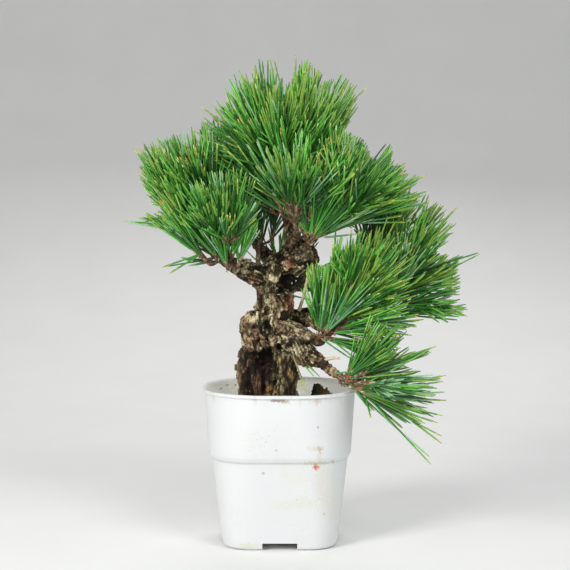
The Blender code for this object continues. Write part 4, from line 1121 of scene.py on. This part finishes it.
def limbTip(name):
    path = smoothPath(limbPlaces[name], growth["trunkPathSpacing" if name == "trunk" else "pathSpacing"])
    tip, before = Vector(path[-1][:3]), Vector(path[-2][:3])
    ahead = (tip - before).normalized()
    return tip + ahead * growth["clear"], ahead, path[-1][3]


stemNames = list(masses)
stemEnds = np.array([[*limbTip(mass["limb"])[0], *mass["hub"]] for mass in masses.values()])


def spaceInside(name, points):    # how far inside its own mass's space each point lies
    starts, aheads = stemEnds[:, :3], stemEnds[:, 3:] - stemEnds[:, :3]
    away = points[:, None] - starts
    share = np.clip((away * aheads).sum(2) / (aheads * aheads).sum(1), 0, 1)
    away = np.linalg.norm(away - share[..., None] * aheads, axis=2)
    own = stemNames.index(name)
    return np.delete(away, own, 1).min(1) - away[:, own]


def shootsOf(name):
    mass = masses[name]
    rng = random.Random(mass["seed"])
    row = stemEnds[stemNames.index(name)]
    start, hub = Vector(row[:3]), Vector(row[3:])
    turn = Vector((0, 0, 1)).rotation_difference(mass["lean"])
    lowest = math.cos(math.radians(mass["spread"]))
    shoots = []
    for i in range(mass["shoots"]):
        along = 1 - (1 - lowest) * (i + 0.5) / mass["shoots"]
        flat = math.sqrt(1 - along * along)
        around = i * goldenAngle + mass["seed"]
        toward = turn @ Vector((flat * math.cos(around), flat * math.sin(around), along))
        reach = Vector([a * b for a, b in zip(mass["dome"], toward)]) * rng.uniform(*growth["reach"])
        foot = between(start, hub, rng.uniform(mass.get("bare", growth["bare"]), growth["lastTwig"]))
        while spaceInside(name, np.array([foot + reach]))[0] < growth["spaceGap"]:
            reach *= growth["shrink"]
        long = mass["needle"] + reach.length * (1 - growth["inner"]) * growth["longer"]
        axis = (toward + mass["lean"] * growth["gather"]).normalized()
        shoots.append((foot, foot + reach * growth["inner"], axis, long))
    return shoots


def shapeOf(rings=None, bm=None):    # a small shape as its points, each face's corners and each face's middle
    if rings:
        bm = bmesh.new()
        wrapTube(bm, rings)
    bm.verts.index_update()
    points = np.array([vert.co[:] for vert in bm.verts])
    faces = [[vert.index for vert in face.verts] for face in bm.faces]
    middles = np.array([face.calc_center_median()[:] for face in bm.faces])
    bm.free()
    return points, faces, middles


def joinCopies(name, faces, copies, tints):    # copies holds every copy's points, tints its faces' materials
    count, size = copies.shape[:2]
    corners = np.concatenate(faces)
    starts = np.cumsum([0] + [len(face) for face in faces[:-1]])
    shift = np.arange(count)[:, None]
    mesh = bpy.data.meshes.new(name)
    mesh.vertices.add(count * size)
    mesh.vertices.foreach_set("co", copies.ravel())
    mesh.loops.add(count * len(corners))
    mesh.loops.foreach_set("vertex_index", (corners + shift * size).ravel())
    mesh.polygons.add(count * len(faces))
    mesh.polygons.foreach_set("loop_start", (starts + shift * len(corners)).ravel())
    mesh.polygons.foreach_set("material_index", tints.ravel())
    mesh.update(calc_edges=True)
    return mesh


needlePoints, needleFaces, needleMiddles = shapeOf([
    [Vector((math.cos(turn) * girth, max(math.sin(turn), needle["underside"]) * girth, t))
     for turn in (math.pi / 2 + turn for turn in turnsOf(needle["sides"]))]
    for t, girth in zip(needle["rings"], needle["girths"])
])
needleBands = np.clip(np.searchsorted(needle["rings"], needleMiddles[:, 2]) - 1, 0, len(needle["rings"]) - 2)


def growTuft(rng, tuft, shares, found):    # wide at its foot, closed at its tip
    base, axis, length, pairs, reach, wide, tone = tuft
    side = axis.orthogonal().normalized()
    tone = tone or rng.choices(toneNames, shares)[0]
    wide = (wide or 1) * rng.uniform(*needle["wide"])
    yellow = next(share for upTo, share in needle["yellowing"] if rng.random() < upTo)
    for i in range(pairs):
        share = (i + 0.5) / pairs
        root = base + axis * length * between(0.02, 1.0, share)
        opened = between(needle["openFoot"], needle["openTip"], share ** needle["openCurve"]) * wide
        opened = math.radians(max(needle["openLeast"], opened + rng.uniform(-1, 1) * needle["openChance"]))
        out = Quaternion(axis, i * goldenAngle + rng.uniform(-0.5, 0.5)) @ side
        way = axis * math.cos(opened) + out * math.sin(opened)
        plane = Quaternion(way, rng.uniform(0, math.pi)) @ way.orthogonal().normalized()
        apart = math.radians(rng.uniform(*needle["apart"]))
        long = reach * rng.uniform(*needle["lengths"])
        sprayTone = tone if rng.random() < needle["ownTone"] else rng.choice(toneNames)
        tip = rng.random()
        end = next(end for end, least in needle["ends"] if tip >= yellow * least)
        for sign in (-1, 1):
            direction = (way * math.cos(apart) + plane * sign * math.sin(apart)).normalized()
            bend = (plane * sign + out * 0.5) * rng.uniform(*needle["bend"]) + Vector((0, 0, needle["lift"]))
            ownLong = long * rng.uniform(*needle["pairLengths"])
            found.append((root, direction, way.cross(plane), ownLong, bend, sprayTone, end))


def seenAt(points):    # x and z of each point as the camera sees it against the tree's front
    eye = np.array(studio["cameraPlace"])
    away = points[:, 1] - eye[1]
    return ((points[:, [0, 2]] - eye[[0, 2]]) * growth["frontDepth"] / away[:, None] + eye[[0, 2]]).T


def inWindows(points, windows):
    x, z = seenAt(points)
    return np.any([(x > a) & (x < b) & (z > low) & (z < high) for a, b, low, high in windows], axis=0)


def outlineDepth(points):    # how far inside the photo's outline each point is seen, negative outside it
    x, z = seenAt(points)
    within = np.zeros(len(points), bool)
    nearest = np.full(len(points), 1e9)
    for (ax, az), (bx, bz) in zip(outline, outline[1:] + outline[:1]):
        if az != bz:
            within ^= ((az > z) != (bz > z)) & (x < (bx - ax) * (z - az) / (bz - az) + ax)
        wide, high = bx - ax, bz - az
        share = np.clip(((x - ax) * wide + (z - az) * high) / (wide**2 + high**2), 0, 1)
        nearest = np.minimum(nearest, np.hypot(x - ax - wide * share, z - az - high * share))
    hidden = (points[:, 1] > growth["hiddenFrom"]) & inWindows(points, behindLimbs)
    return np.where(within | hidden, np.where(hidden, 1.0, nearest), -nearest)


def freeShares(name, roots, tips, aimed, rng):    # the share of each needle that stays clear of everything
    shares = np.linspace(0.2, 1, growth["samples"])
    points = (roots[:, None] + (tips - roots)[:, None] * shares[None, :, None]).reshape(-1, 3)
    low, high = np.array(cadBounds[0]), np.array(cadBounds[1])
    crowded = (spaceInside(name, points) < -growth["mingle"]) & ~np.repeat(aimed, growth["samples"])
    blocked = crowded | (nearestLimb(points)[2] < growth["limbGap"])
    margins = np.repeat([rng.expovariate(1 / growth["insideOutline"]) for _ in roots], growth["samples"])
    outer = np.tile(np.clip((shares - 0.4) * 2.5, 0, 1), len(roots))    # a foot may stand on the outline
    margins = margins * outer - growth["footOutside"] * (1 - outer)
    blocked |= ((points < low) | (points > high)).any(1) | inWindows(points, openSky)
    blocked |= outlineDepth(points) < margins
    inPot = np.abs(points[:, :2]).max(1) < pot["lipHalf"] + growth["potGap"]
    blocked |= inPot & (points[:, 2] < pot["height"] + growth["potGap"])
    blocked = blocked.reshape(len(roots), -1)
    return np.where(blocked.any(1), shares[np.maximum(blocked.argmax(1) - 1, 0)], 1.0)


def flattened(axis, lean):    # needles stand up rather than pointing at the front or the back
    return (Vector((axis.x, axis.y * needle["uprightDepth"], axis.z)) + lean).normalized()


def roughTube(bm, places, rng, spacing=growth["twigSpacing"], sides=growth["twigSides"]):
    points = smoothPath(places, spacing)
    rings = []
    for (place, _, side, other), point in zip(ringFrames(points), points):
        swell = 1 + rng.uniform(-0.5, 0.5) * growth["twigRough"]
        radii = [point[3] * (swell + rng.uniform(-0.5, 0.5) * growth["twigRough"]) for _ in range(sides)]
        rings.append(ringPoints(place, side, other, radii))
    wrapTube(bm, rings)


def stemOf(mass, slim):    # a mass's stem, from inside its limb's tip to its hub
    start, ahead, radius = limbTip(mass["limb"])
    hub = Vector(mass["hub"])
    bend = between(start, hub, 0.5) + ahead * (hub - start).length * growth["stemBend"]
    sunk, square = start - ahead * growth["stemSunk"], start + ahead * growth["stemSquare"]
    return [
        (*sunk, radius * 0.95), (*square, radius * 0.9),
        (*bend, growth["stemMiddle"] * slim), (*hub, growth["stemTip"] * slim),
    ]


def sideTuft(name, bm, rng, foot, base, axis, pairs):    # a side twig with its tuft, if there is room
    leaves = between(foot, base, rng.uniform(*growth["sideLeaves"]))
    opened = math.radians(rng.uniform(*growth["sideOpen"]))
    out = Quaternion(axis, rng.uniform(0, 2 * math.pi)) @ axis.orthogonal().normalized()
    way = (axis * math.cos(opened) + out * math.sin(opened)).normalized()
    sideBase = leaves + way * rng.uniform(*growth["sideReach"])
    sideAxis = (way + axis * growth["sideGather"]).normalized()
    sideTip = sideBase + sideAxis * growth["sideLength"]
    if spaceInside(name, np.array([sideTip]))[0] < growth["sideSpace"]:
        return []
    thick, thin, slim = growth["twigTip"], growth["shootTip"], growth["sideSlim"]
    roughTube(bm, [(*leaves, thick), (*sideBase, thick * slim), (*sideTip, thin * slim)], rng)
    long = masses[name]["needle"] * rng.uniform(*growth["sideNeedle"])
    return [(sideBase, sideAxis, growth["sideLength"], min(pairs, needle["sidePairs"]), long, None, None)]


def growTwigs(name, bm, rng):    # twigs and what they carry: shoots, how many are by the rule, and tufts
    mass = masses[name]
    slim = mass.get("slim", growth["slim"])
    stem = stemOf(mass, slim)
    roughTube(bm, stem, rng)
    lean = mass["lean"] * needle["uprightGather"]
    shoots = [(foot, base, flattened(axis, lean), long) for foot, base, axis, long in shootsOf(name)
              if outlineDepth(np.array([base]))[0] > -growth["twigOutside"]]
    ruled = len(shoots)
    pairs = mass.get("pairs", needle["pairs"])
    shootLong = mass.get("shootLong", growth["shootLength"])
    # shoots behind their mass's hub take the deep tone: painted shade
    behind = mass["hub"][1] + growth["behind"]
    tufts = [(base, axis, shootLong, pairs, long, None, "deep" if base.y > behind else None)
             for _, base, axis, long in shoots]
    stemSpots = [Vector(point[:3]) for point in smoothPath(stem, growth["twigSpacing"])]
    for x, y, z, *way, long, count, wide, tone in sprays.get(name, ()):
        base, axis, long = Vector(tenths((x, y, z))), Vector(hundredths(way)).normalized(), tenths(long)
        foot = min(stemSpots, key=lambda spot: (spot - base + axis * 0.004).length)
        tufts.append((base, axis, shootLong, count, long, wide / 100, tone))
        shoots.append((foot, base, axis, long))
    for order, (foot, base, axis, _) in enumerate(shoots):
        tip = base + axis * shootLong
        places = foot, base, between(base, tip, 0.5), tip
        radii = (growth[label] * slim for label in ("twigRadius", "twigTip", "shootRadius", "shootTip"))
        roughTube(bm, [(*place, radius) for place, radius in zip(places, radii)], rng)
        if rng.random() < growth["budChance"]:
            sizes = rng.uniform(*growth["budLength"]), rng.uniform(*growth["budWidth"])
            budPlaces.append((tip - axis * growth["budSunk"], axis, *sizes))
        scalePlaces.append((base, axis, shootLong))
        for _ in range(rng.randint(*mass.get("sideTwigs", growth["sideTwigs"])) if order < ruled else 0):
            side = sideTuft(name, bm, rng, foot, base, axis, pairs)
            tufts += side
            scalePlaces.extend(tuft[:3] for tuft in side)
    return shoots, ruled, tufts


def growMass(name, needleMaterials, twigMaterial):
    mass = masses[name]
    rng = random.Random(mass["seed"] + 500)
    bm = bmesh.new()
    shoots, ruled, tufts = growTwigs(name, bm, rng)
    found, aimed = [], []
    shares = mass.get("tones", [often for _, _, often in needleTones.values()])
    for order, tuft in enumerate(tufts):
        growTuft(rng, tuft, shares, found)
        aimed += [ruled <= order < len(shoots)] * (len(found) - len(aimed))
    roots, ways, lengths, bends = (np.array([row[i] for row in found]) for i in (0, 1, 3, 4))
    free = freeShares(name, roots, roots + (ways + bends) * lengths[:, None], np.array(aimed), rng)
    least = [growth["shortest" if rng.random() < growth["cutKept"] else "uncut"] for _ in free]
    keep = free >= np.array(least)
    found = [row for row, kept in zip(found, keep) if kept]
    lengths = list((lengths * free)[keep])
    singles = []    # root, tip, bend, tone and end
    for tip in mass["furthest"]:
        tip = Vector(tip)
        roots = (base + axis * growth["furthestRoot"] for _, base, axis, _ in shoots)
        root = min(roots, key=lambda root: (root - tip).length)
        singles.append((root, tip, Vector((0, 0, 0)), "bright", "yellow"))
    for *ends, lift, tone in looseNeedles.get(name, ()):
        root, tip = Vector(tenths(ends[:3])), Vector(tenths(ends[3:]))
        singles.append((root, tip, Vector((0, 0, lift / 100)), tone, rng.choice(("yellow", "pale", "green"))))
    for root, tip, bend, tone, end in singles:
        way = (tip - root).normalized() - bend
        found.append((root, way, way.orthogonal().normalized(), 0, bend, tone, end))
        lengths.append((tip - root).length)
    makeNeedles(name, found, np.array(lengths), rng, needleMaterials)
    finishPiece("twigs_" + name, meshOf("twigs_" + name, bm), [twigMaterial], ["mass_" + name])
    return len(found)


def spread(vectors, amounts, shares):    # each copy's vector, at its own length, times each point's share
    return (vectors * amounts[:, None])[:, None] * shares[None, :, None]


def makeNeedles(name, found, lengths, rng, materials):
    roots, ways, flats, bends = (np.array([row[i] for row in found]) for i in (0, 1, 2, 4))
    flats = flats - ways * (flats * ways).sum(1)[:, None]
    flats /= np.linalg.norm(flats, axis=1)[:, None]
    halves = needle["half"] * np.array([rng.uniform(*needle["halfChance"]) for _ in found])
    u, v, t = needlePoints.T
    copies = roots[:, None] + spread(ways, lengths, t)
    copies += spread(bends, lengths, t * t)
    copies += spread(flats, halves, u) + spread(np.cross(ways, flats), halves, v)
    tints = []
    for i, row in enumerate(found):
        low = len(endNames) + 2 * toneNames.index(row[5])
        end = low + 1 if row[6] == "green" else endNames.index(row[6])
        upper = endNames.index("lime") if row[6] in ("lime", "yellow") else low + 1
        # the lower bands take the darker colour, the second band on two needles of three: painted shade near
        # the feet
        bands = (0, low, low if i % 3 else low + 1, upper, end)
        tints.append([bands[band] for band in needleBands])
    mesh = joinCopies("needles_" + name, needleFaces, copies, np.array(tints))
    finishPiece(mesh.name, mesh, materials, ["mass_" + name])


def leafTintGroup():    # small changes of tone that have no place of their own
    group, given, out = newGroup(
        "leafTint", [("Colour", "Color", (0.1, 0.3, 0.05, 1))], [("Colour", "Color"), ("Roughness", "Float")],
    )
    point = objectPoint(group)
    fine = noiseNode(group, point, 800.0, 2.0)
    light = mapRange(group, total(group, noiseNode(group, point, 55.0, 2.0), fine), 0.7, 1.3, 0.72, 1.30)
    rough = mapRange(group, fine, 0.3, 0.7, 0.36, 0.52)
    fillSockets(group, out, {"Colour": darkened(group, given["Colour"], light), "Roughness": rough})
    return group


tintGroup = leafTintGroup()


def leafMaterial(name, colour, roughness=None):
    material, tree, shader = newMaterial(name, colour, roughness or 0.42, {"Specular IOR Level": 0.50})
    tinted = addNode(tree, "Group", {"Colour": colour}, node_tree=tintGroup)
    fillSockets(tree, shader, {"Base Color": tinted["Colour"]})
    if roughness is None:
        fillSockets(tree, shader, {"Roughness": tinted["Roughness"]})
    return material


def twigBarkMaterial():
    material, tree, shader = newMaterial("twigBark", (0.2, 0.13, 0.08), 0.9)
    grain = grainOf(tree, 700.0, 0.9, 0.0007)
    broad = noiseNode(tree, objectPoint(tree), 160.0, 4.0, 0.6)
    mixed = mapRange(tree, product(tree, total(tree, grain["Mask"], broad), 0.5), 0.36, 0.64)
    colour = rampNode(tree, mixed, barkLooks["twig"])
    fillSockets(tree, shader, {"Base Color": colour, "Normal": grain["Normal"]})
    return material


needleLooks = {"needle" + label.capitalize(): colour for label, colour in needleEnds.items()}
for label, (low, high, _) in needleTones.items():
    needleLooks["needle" + label.capitalize() + "Low"] = low
    needleLooks["needle" + label.capitalize() + "High"] = high
needleMaterials = [leafMaterial(label, colour) for label, colour in needleLooks.items()]
twigBark = twigBarkMaterial()
budPlaces, scalePlaces = [], []
needleCount = sum(growMass(name, needleMaterials, twigBark) for name in masses)
print("foliage grown,", needleCount, "needles")


# Buds, and the papery scales at the foot of each shoot

budLooks = {
    "budPale": (0.58, 0.52, 0.42), "budTan": (0.42, 0.27, 0.15), "budBrown": (0.20, 0.085, 0.045),
    "scalePale": (0.56, 0.49, 0.38), "scaleBrown": (0.25, 0.125, 0.065), "scaleRust": (0.36, 0.15, 0.065),
}
bud = {"sides": 8, "rows": 11, "steps": (0.90, 1.14), "perShoot": 9, "roughness": 0.75, "seed": 71}
scaleRings = ((0.0, 0.5, 0.0), (0.25, 1.0, 0.05), (0.55, 0.9, 0.22), (0.8, 0.5, 0.48), (1.0, 0.1, 0.62))
scaleThick = 0.12


def budRings():    # a pointed bud with rows of overlapping scales
    for row in range(bud["rows"] + 1):
        t = row / bud["rows"]
        body, step = math.sin(math.pi * min(0.97, 0.16 + 0.84 * t)) ** 0.7, bud["steps"][row % 2]
        turns = turnsOf(bud["sides"], 0.5 * (row // 2 % 2))
        yield [Vector((math.cos(turn) * body * step, math.sin(turn) * body * step, t)) for turn in turns]


def scaleRing(t, half, out):    # one curled papery scale, thin and closed
    side = 0.25 * half
    outer = ((-half, side), (0, -scaleThick), (half, side))
    inner = ((half, side + scaleThick), (0, scaleThick), (-half, side + scaleThick))
    return [Vector((x, out + y, t)) for x, y in outer + inner]


def placeCopies(points, rows):    # rows are (place, up, facing, width, depth, length)
    places, ups, facings, widths, depths, lengths = (np.array([row[i] for row in rows]) for i in range(6))
    facings = facings - ups * (facings * ups).sum(1)[:, None]
    facings /= np.linalg.norm(facings, axis=1)[:, None]
    x, y, z = points.T
    copies = places[:, None] + spread(np.cross(facings, ups), widths, x)
    copies += spread(facings, depths, y)
    return copies + spread(ups, lengths, z)


def buildBuds():
    rng = random.Random(bud["seed"])
    points, faces, middles = shapeOf(list(budRings()))
    rows = [(place, axis, axis.orthogonal(), wide, wide, long) for place, axis, long, wide in budPlaces]
    above = middles[:, 2] > 0.2
    tints = np.array([[rng.choice((0, 0, 1, 1, 2)) if high else 2 for high in above] for _ in rows])
    materials = [leafMaterial(name, colour, bud["roughness"]) for name, colour in budLooks.items()]
    mesh = joinCopies("pineBuds", faces, placeCopies(points, rows), tints)
    finishPiece("pineBuds", mesh, materials[:3])
    points, faces, _ = shapeOf([scaleRing(*row) for row in scaleRings])
    rows = []
    for base, axis, length in scalePlaces:
        for i in range(bud["perShoot"]):
            out = Quaternion(axis, i * goldenAngle + rng.uniform(-0.3, 0.3)) @ axis.orthogonal().normalized()
            place = base + axis * length * rng.uniform(-0.15, 0.75) + out * 0.0009
            up = (axis + out * rng.uniform(0.1, 0.5)).normalized()
            rows.append((place, up, out, rng.uniform(0.0004, 0.0008), 0.0010, rng.uniform(0.0016, 0.0034)))
    tints = np.array([[rng.choice((0, 1, 1, 2))] * len(faces) for _ in rows])
    mesh = joinCopies("budScales", faces, placeCopies(points, rows), tints)
    finishPiece("budScales", mesh, materials[3:])


buildBuds()
print("buds and scales built")


# Small single things: a dead needle, an aerial root, stubs, stray needles

smallThings = {    # sides, material, and the places along its middle
    "deadNeedle": (
        6, "deadStraw", (136, 100, 1590, 10), (168, -20, 1715, 12), (200, -110, 1862, 11),
        (203, -120, 1889, 8),
    ),
    "deadTipLeft": (6, "needleLime", (202, -120, 1886, 7), (193, -124, 1910, 6), (187, -126, 1931, 4)),
    "deadTipRight": (6, "needleLime", (204, -120, 1886, 7), (213, -124, 1910, 6), (222, -126, 1934, 4)),
    "deadFoot": (8, "deadStraw", (128, 85, 1585, 13), (138, 95, 1602, 15), (146, 80, 1618, 6)),
    "aerialRoot": (
        7, "rootStrand", (78, -160, 1330, 8), (112, -192, 1245, 7), (128, -204, 1198, 6),
        (150, -204, 1150, 4),
    ),
    "stubTwig": (7, "deadStraw", (275, -245, 1262, 14), (345, -262, 1290, 11), (405, -270, 1292, 8)),
    "leftStub": (9, "twigBark", (-149, -50, 1900, 19), (-151, -62, 1990, 16), (-147, -66, 2075, 12)),
    "strayNeedle": (
        6, "needleBrightHigh", (145, -180, 1262, 6), (192, -215, 1208, 6), (230, -240, 1166, 3),
    ),
    "strayNeedleLow": (
        6, "needleMidHigh", (180, -205, 1250, 6), (228, -240, 1205, 6), (269, -262, 1166, 3),
    ),
}


def buildSmallThings():
    leafMaterial("deadStraw", (0.68, 0.57, 0.38), 0.7)
    leafMaterial("rootStrand", (0.25, 0.24, 0.12), 0.8)
    rng = random.Random(83)
    for name, (sides, look, *places) in smallThings.items():
        bm = bmesh.new()
        roughTube(bm, tenths(places), rng, 0.0016, sides)
        finishPiece(name, meshOf(name, bm), [bpy.data.materials[look]])


buildSmallThings()
print("small things built")


# Soil: loose grains on the bed, and the mossy clod

soil = {
    "top": 0.0900, "half": 0.0478, "count": 1500, "sizes": (0.0011, 0.0030), "trunkGap": 0.0238, "seed": 37,
    "looks": {
        "grainTan": (0.34, 0.22, 0.12), "grainRust": (0.27, 0.12, 0.055), "grainDark": (0.055, 0.038, 0.026),
        "grainPumice": (0.56, 0.52, 0.44), "grainBark": (0.13, 0.075, 0.042),
    },
    "often": (6, 3, 5, 2, 4), "bed": (0.085, 0.058, 0.036), "sharp": 40,
}
clod = {
    "at": (0.0295, 0.0170, 0.0896), "size": (0.0112, 0.0084, 0.0168), "seed": 5, "underside": -0.0012,
    "across": (0.0250, 0.0345), "dark": ((0.3, (0.008, 0.008, 0.004)), (0.7, (0.060, 0.062, 0.028))),
    "ochre": ((0.3, (0.075, 0.045, 0.018)), (0.7, (0.270, 0.180, 0.075))),
}


def grainMaterial(name, colour):
    material, tree, shader = newMaterial(name, colour, 0.93)
    grain = grainOf(tree, 1100.0, 0.6, 0.0003)
    shaded = darkened(tree, colour, mapRange(tree, grain["Mask"], 0.3, 0.7, 0.45, 1.4))
    fillSockets(tree, shader, {"Base Color": shaded, "Normal": grain["Normal"]})
    return material


def icosphere(subdivisions):
    bm = bmesh.new()
    bmesh.ops.create_icosphere(bm, subdivisions=subdivisions, radius=1)
    return bm


def buildGrains():
    rng = random.Random(soil["seed"])
    points, faces, _ = shapeOf(bm=icosphere(1))
    middle = Vector(limbPlaces["trunk"][0][:2])
    corner = soil["half"] * cornerShare(soil["top"])
    straight = soil["half"] - corner
    copies, tints = [], []
    while len(copies) < soil["count"]:
        x, y = rng.uniform(-1, 1) * soil["half"], rng.uniform(-1, 1) * soil["half"]
        size = rng.uniform(*soil["sizes"])
        past = Vector((max(0, abs(x) - straight), max(0, abs(y) - straight))).length
        if past + size > corner or (Vector((x, y)) - middle).length < soil["trunkGap"] * 0.94:
            continue
        turn = Quaternion([rng.gauss(0, 1) for _ in range(4)]).normalized().to_matrix()
        shape = points * np.array([rng.uniform(0.75, 1.2), rng.uniform(0.75, 1.2), rng.uniform(0.6, 1.0)])
        shape = shape * np.array([rng.uniform(0.86, 1.12) for _ in points])[:, None] * size
        place = np.array([x, y, soil["top"] + rng.uniform(-0.35, 0.55) * size])
        copies.append(shape @ np.array(turn).T + place)
        tints.append([rng.choices(range(5), soil["often"])[0]] * len(faces))
    materials = [grainMaterial(name, colour) for name, colour in soil["looks"].items()]
    mesh = joinCopies("soilGrains", faces, np.array(copies), np.array(tints))
    finishPiece("soilGrains", mesh, materials, (), soil["sharp"])


def clodMaterial():
    material, tree, shader = newMaterial("mossyClod", (0.06, 0.05, 0.025), 0.95)
    grain = grainOf(tree, 800.0, 0.8, 0.0006)
    across = mapRange(tree, addNode(tree, "SeparateXYZ", {0: objectPoint(tree)})["X"], *clod["across"])
    dark, ochre = (rampNode(tree, grain["Mask"], clod[kind]) for kind in ("dark", "ochre"))
    colour = mixColours(tree, across, dark, ochre)
    fillSockets(tree, shader, {"Base Color": colour, "Normal": grain["Normal"]})
    return material


def buildClod():
    bm = icosphere(6)
    for vert in bm.verts:
        lumps = noise.fractal(vert.co * 1.6 + Vector((clod["seed"], 0, 0)), 0.8, 2.0, 3)
        clumps = noise.voronoi(vert.co * 5.5)[0][0]
        vert.co *= 0.95 + 0.20 * lumps - 0.24 * clumps + 0.07 * noise.noise(vert.co * 21)
        peak = math.exp(-(((vert.co.x + 0.30) / 0.42) ** 2)) - 0.6 * max(0, vert.co.x)
        vert.co.z *= 0.90 + 0.26 * peak
    bmesh.ops.scale(bm, vec=clod["size"], verts=bm.verts)
    for vert in bm.verts:
        vert.co.z = max(vert.co.z, clod["underside"])
    bmesh.ops.translate(bm, vec=clod["at"], verts=bm.verts)
    finishPiece("mossyClod", meshOf("mossyClod", bm), [clodMaterial()], ["clod"])


buildGrains()
buildClod()
bedMaterial = grainMaterial("soilBed", soil["bed"])
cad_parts["soil"].data.materials.clear()
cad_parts["soil"].data.materials.append(bedMaterial)
print("soil built")


# Stage: a pale floor, soft light, and the photograph's camera

def buildFloor():
    bm = bmesh.new()
    bmesh.ops.create_grid(bm, x_segments=1, y_segments=studio["sweepSteps"], size=studio["floorSize"])
    for vert in bm.verts:    # the floor's far part is bent up into a wall
        past = max(0.0, vert.co.y - studio["sweepFrom"])
        turn = min(math.pi / 2, past / studio["sweepRadius"])
        rise = max(0.0, past - studio["sweepRadius"] * math.pi / 2)
        vert.co.y = min(vert.co.y, studio["sweepFrom"]) + studio["sweepRadius"] * math.sin(turn)
        vert.co.z = studio["floorZ"] + studio["sweepRadius"] * (1 - math.cos(turn)) + rise
    mesh = meshOf("floor", bm)
    mesh.polygons.foreach_set("use_smooth", [True] * len(mesh.polygons))
    material, tree, shader = newMaterial("floorPale", (0.6, 0.6, 0.6), 0.85)
    mottle = noiseNode(tree, objectPoint(tree), 9.0, 3.0)
    tone = rampNode(tree, mottle, ((0.2, (0.85, 0.85, 0.84)), (0.8, (0.89, 0.89, 0.88))))
    fillSockets(tree, shader, {"Base Color": tone})
    mesh.materials.append(material)
    return addObject("floor", mesh)


def buildStage():
    staged = [buildFloor()]
    world = bpy.data.worlds.new("paleStudio")
    world.use_nodes = True
    sky = world.node_tree.nodes["Background"]
    fillSockets(world.node_tree, sky, {"Color": studio["world"], "Strength": studio["worldPower"]})
    bpy.context.scene.world = world
    for i, (place, size, power, colour) in enumerate(studio["lights"]):
        lamp = addObject("softLight%d" % i, bpy.data.lights.new("softLight%d" % i, "AREA"))
        lamp.data.size, lamp.data.energy, lamp.data.color = size, power, colour
        lamp.location = place
        lamp.rotation_euler = (Vector(studio["aim"]) - Vector(place)).to_track_quat("-Z", "Y").to_euler()
        staged.append(lamp)
    camera = addObject("photoCamera", bpy.data.cameras.new("photoCamera"))
    camera.data.sensor_width, camera.data.lens = 36, studio["lens"]
    camera.location = studio["cameraPlace"]
    camera.rotation_euler = (math.radians(studio["cameraPitch"]), 0, 0)
    bpy.context.scene.camera = camera
    bpy.context.scene.view_settings.view_transform = "Standard"


buildStage()
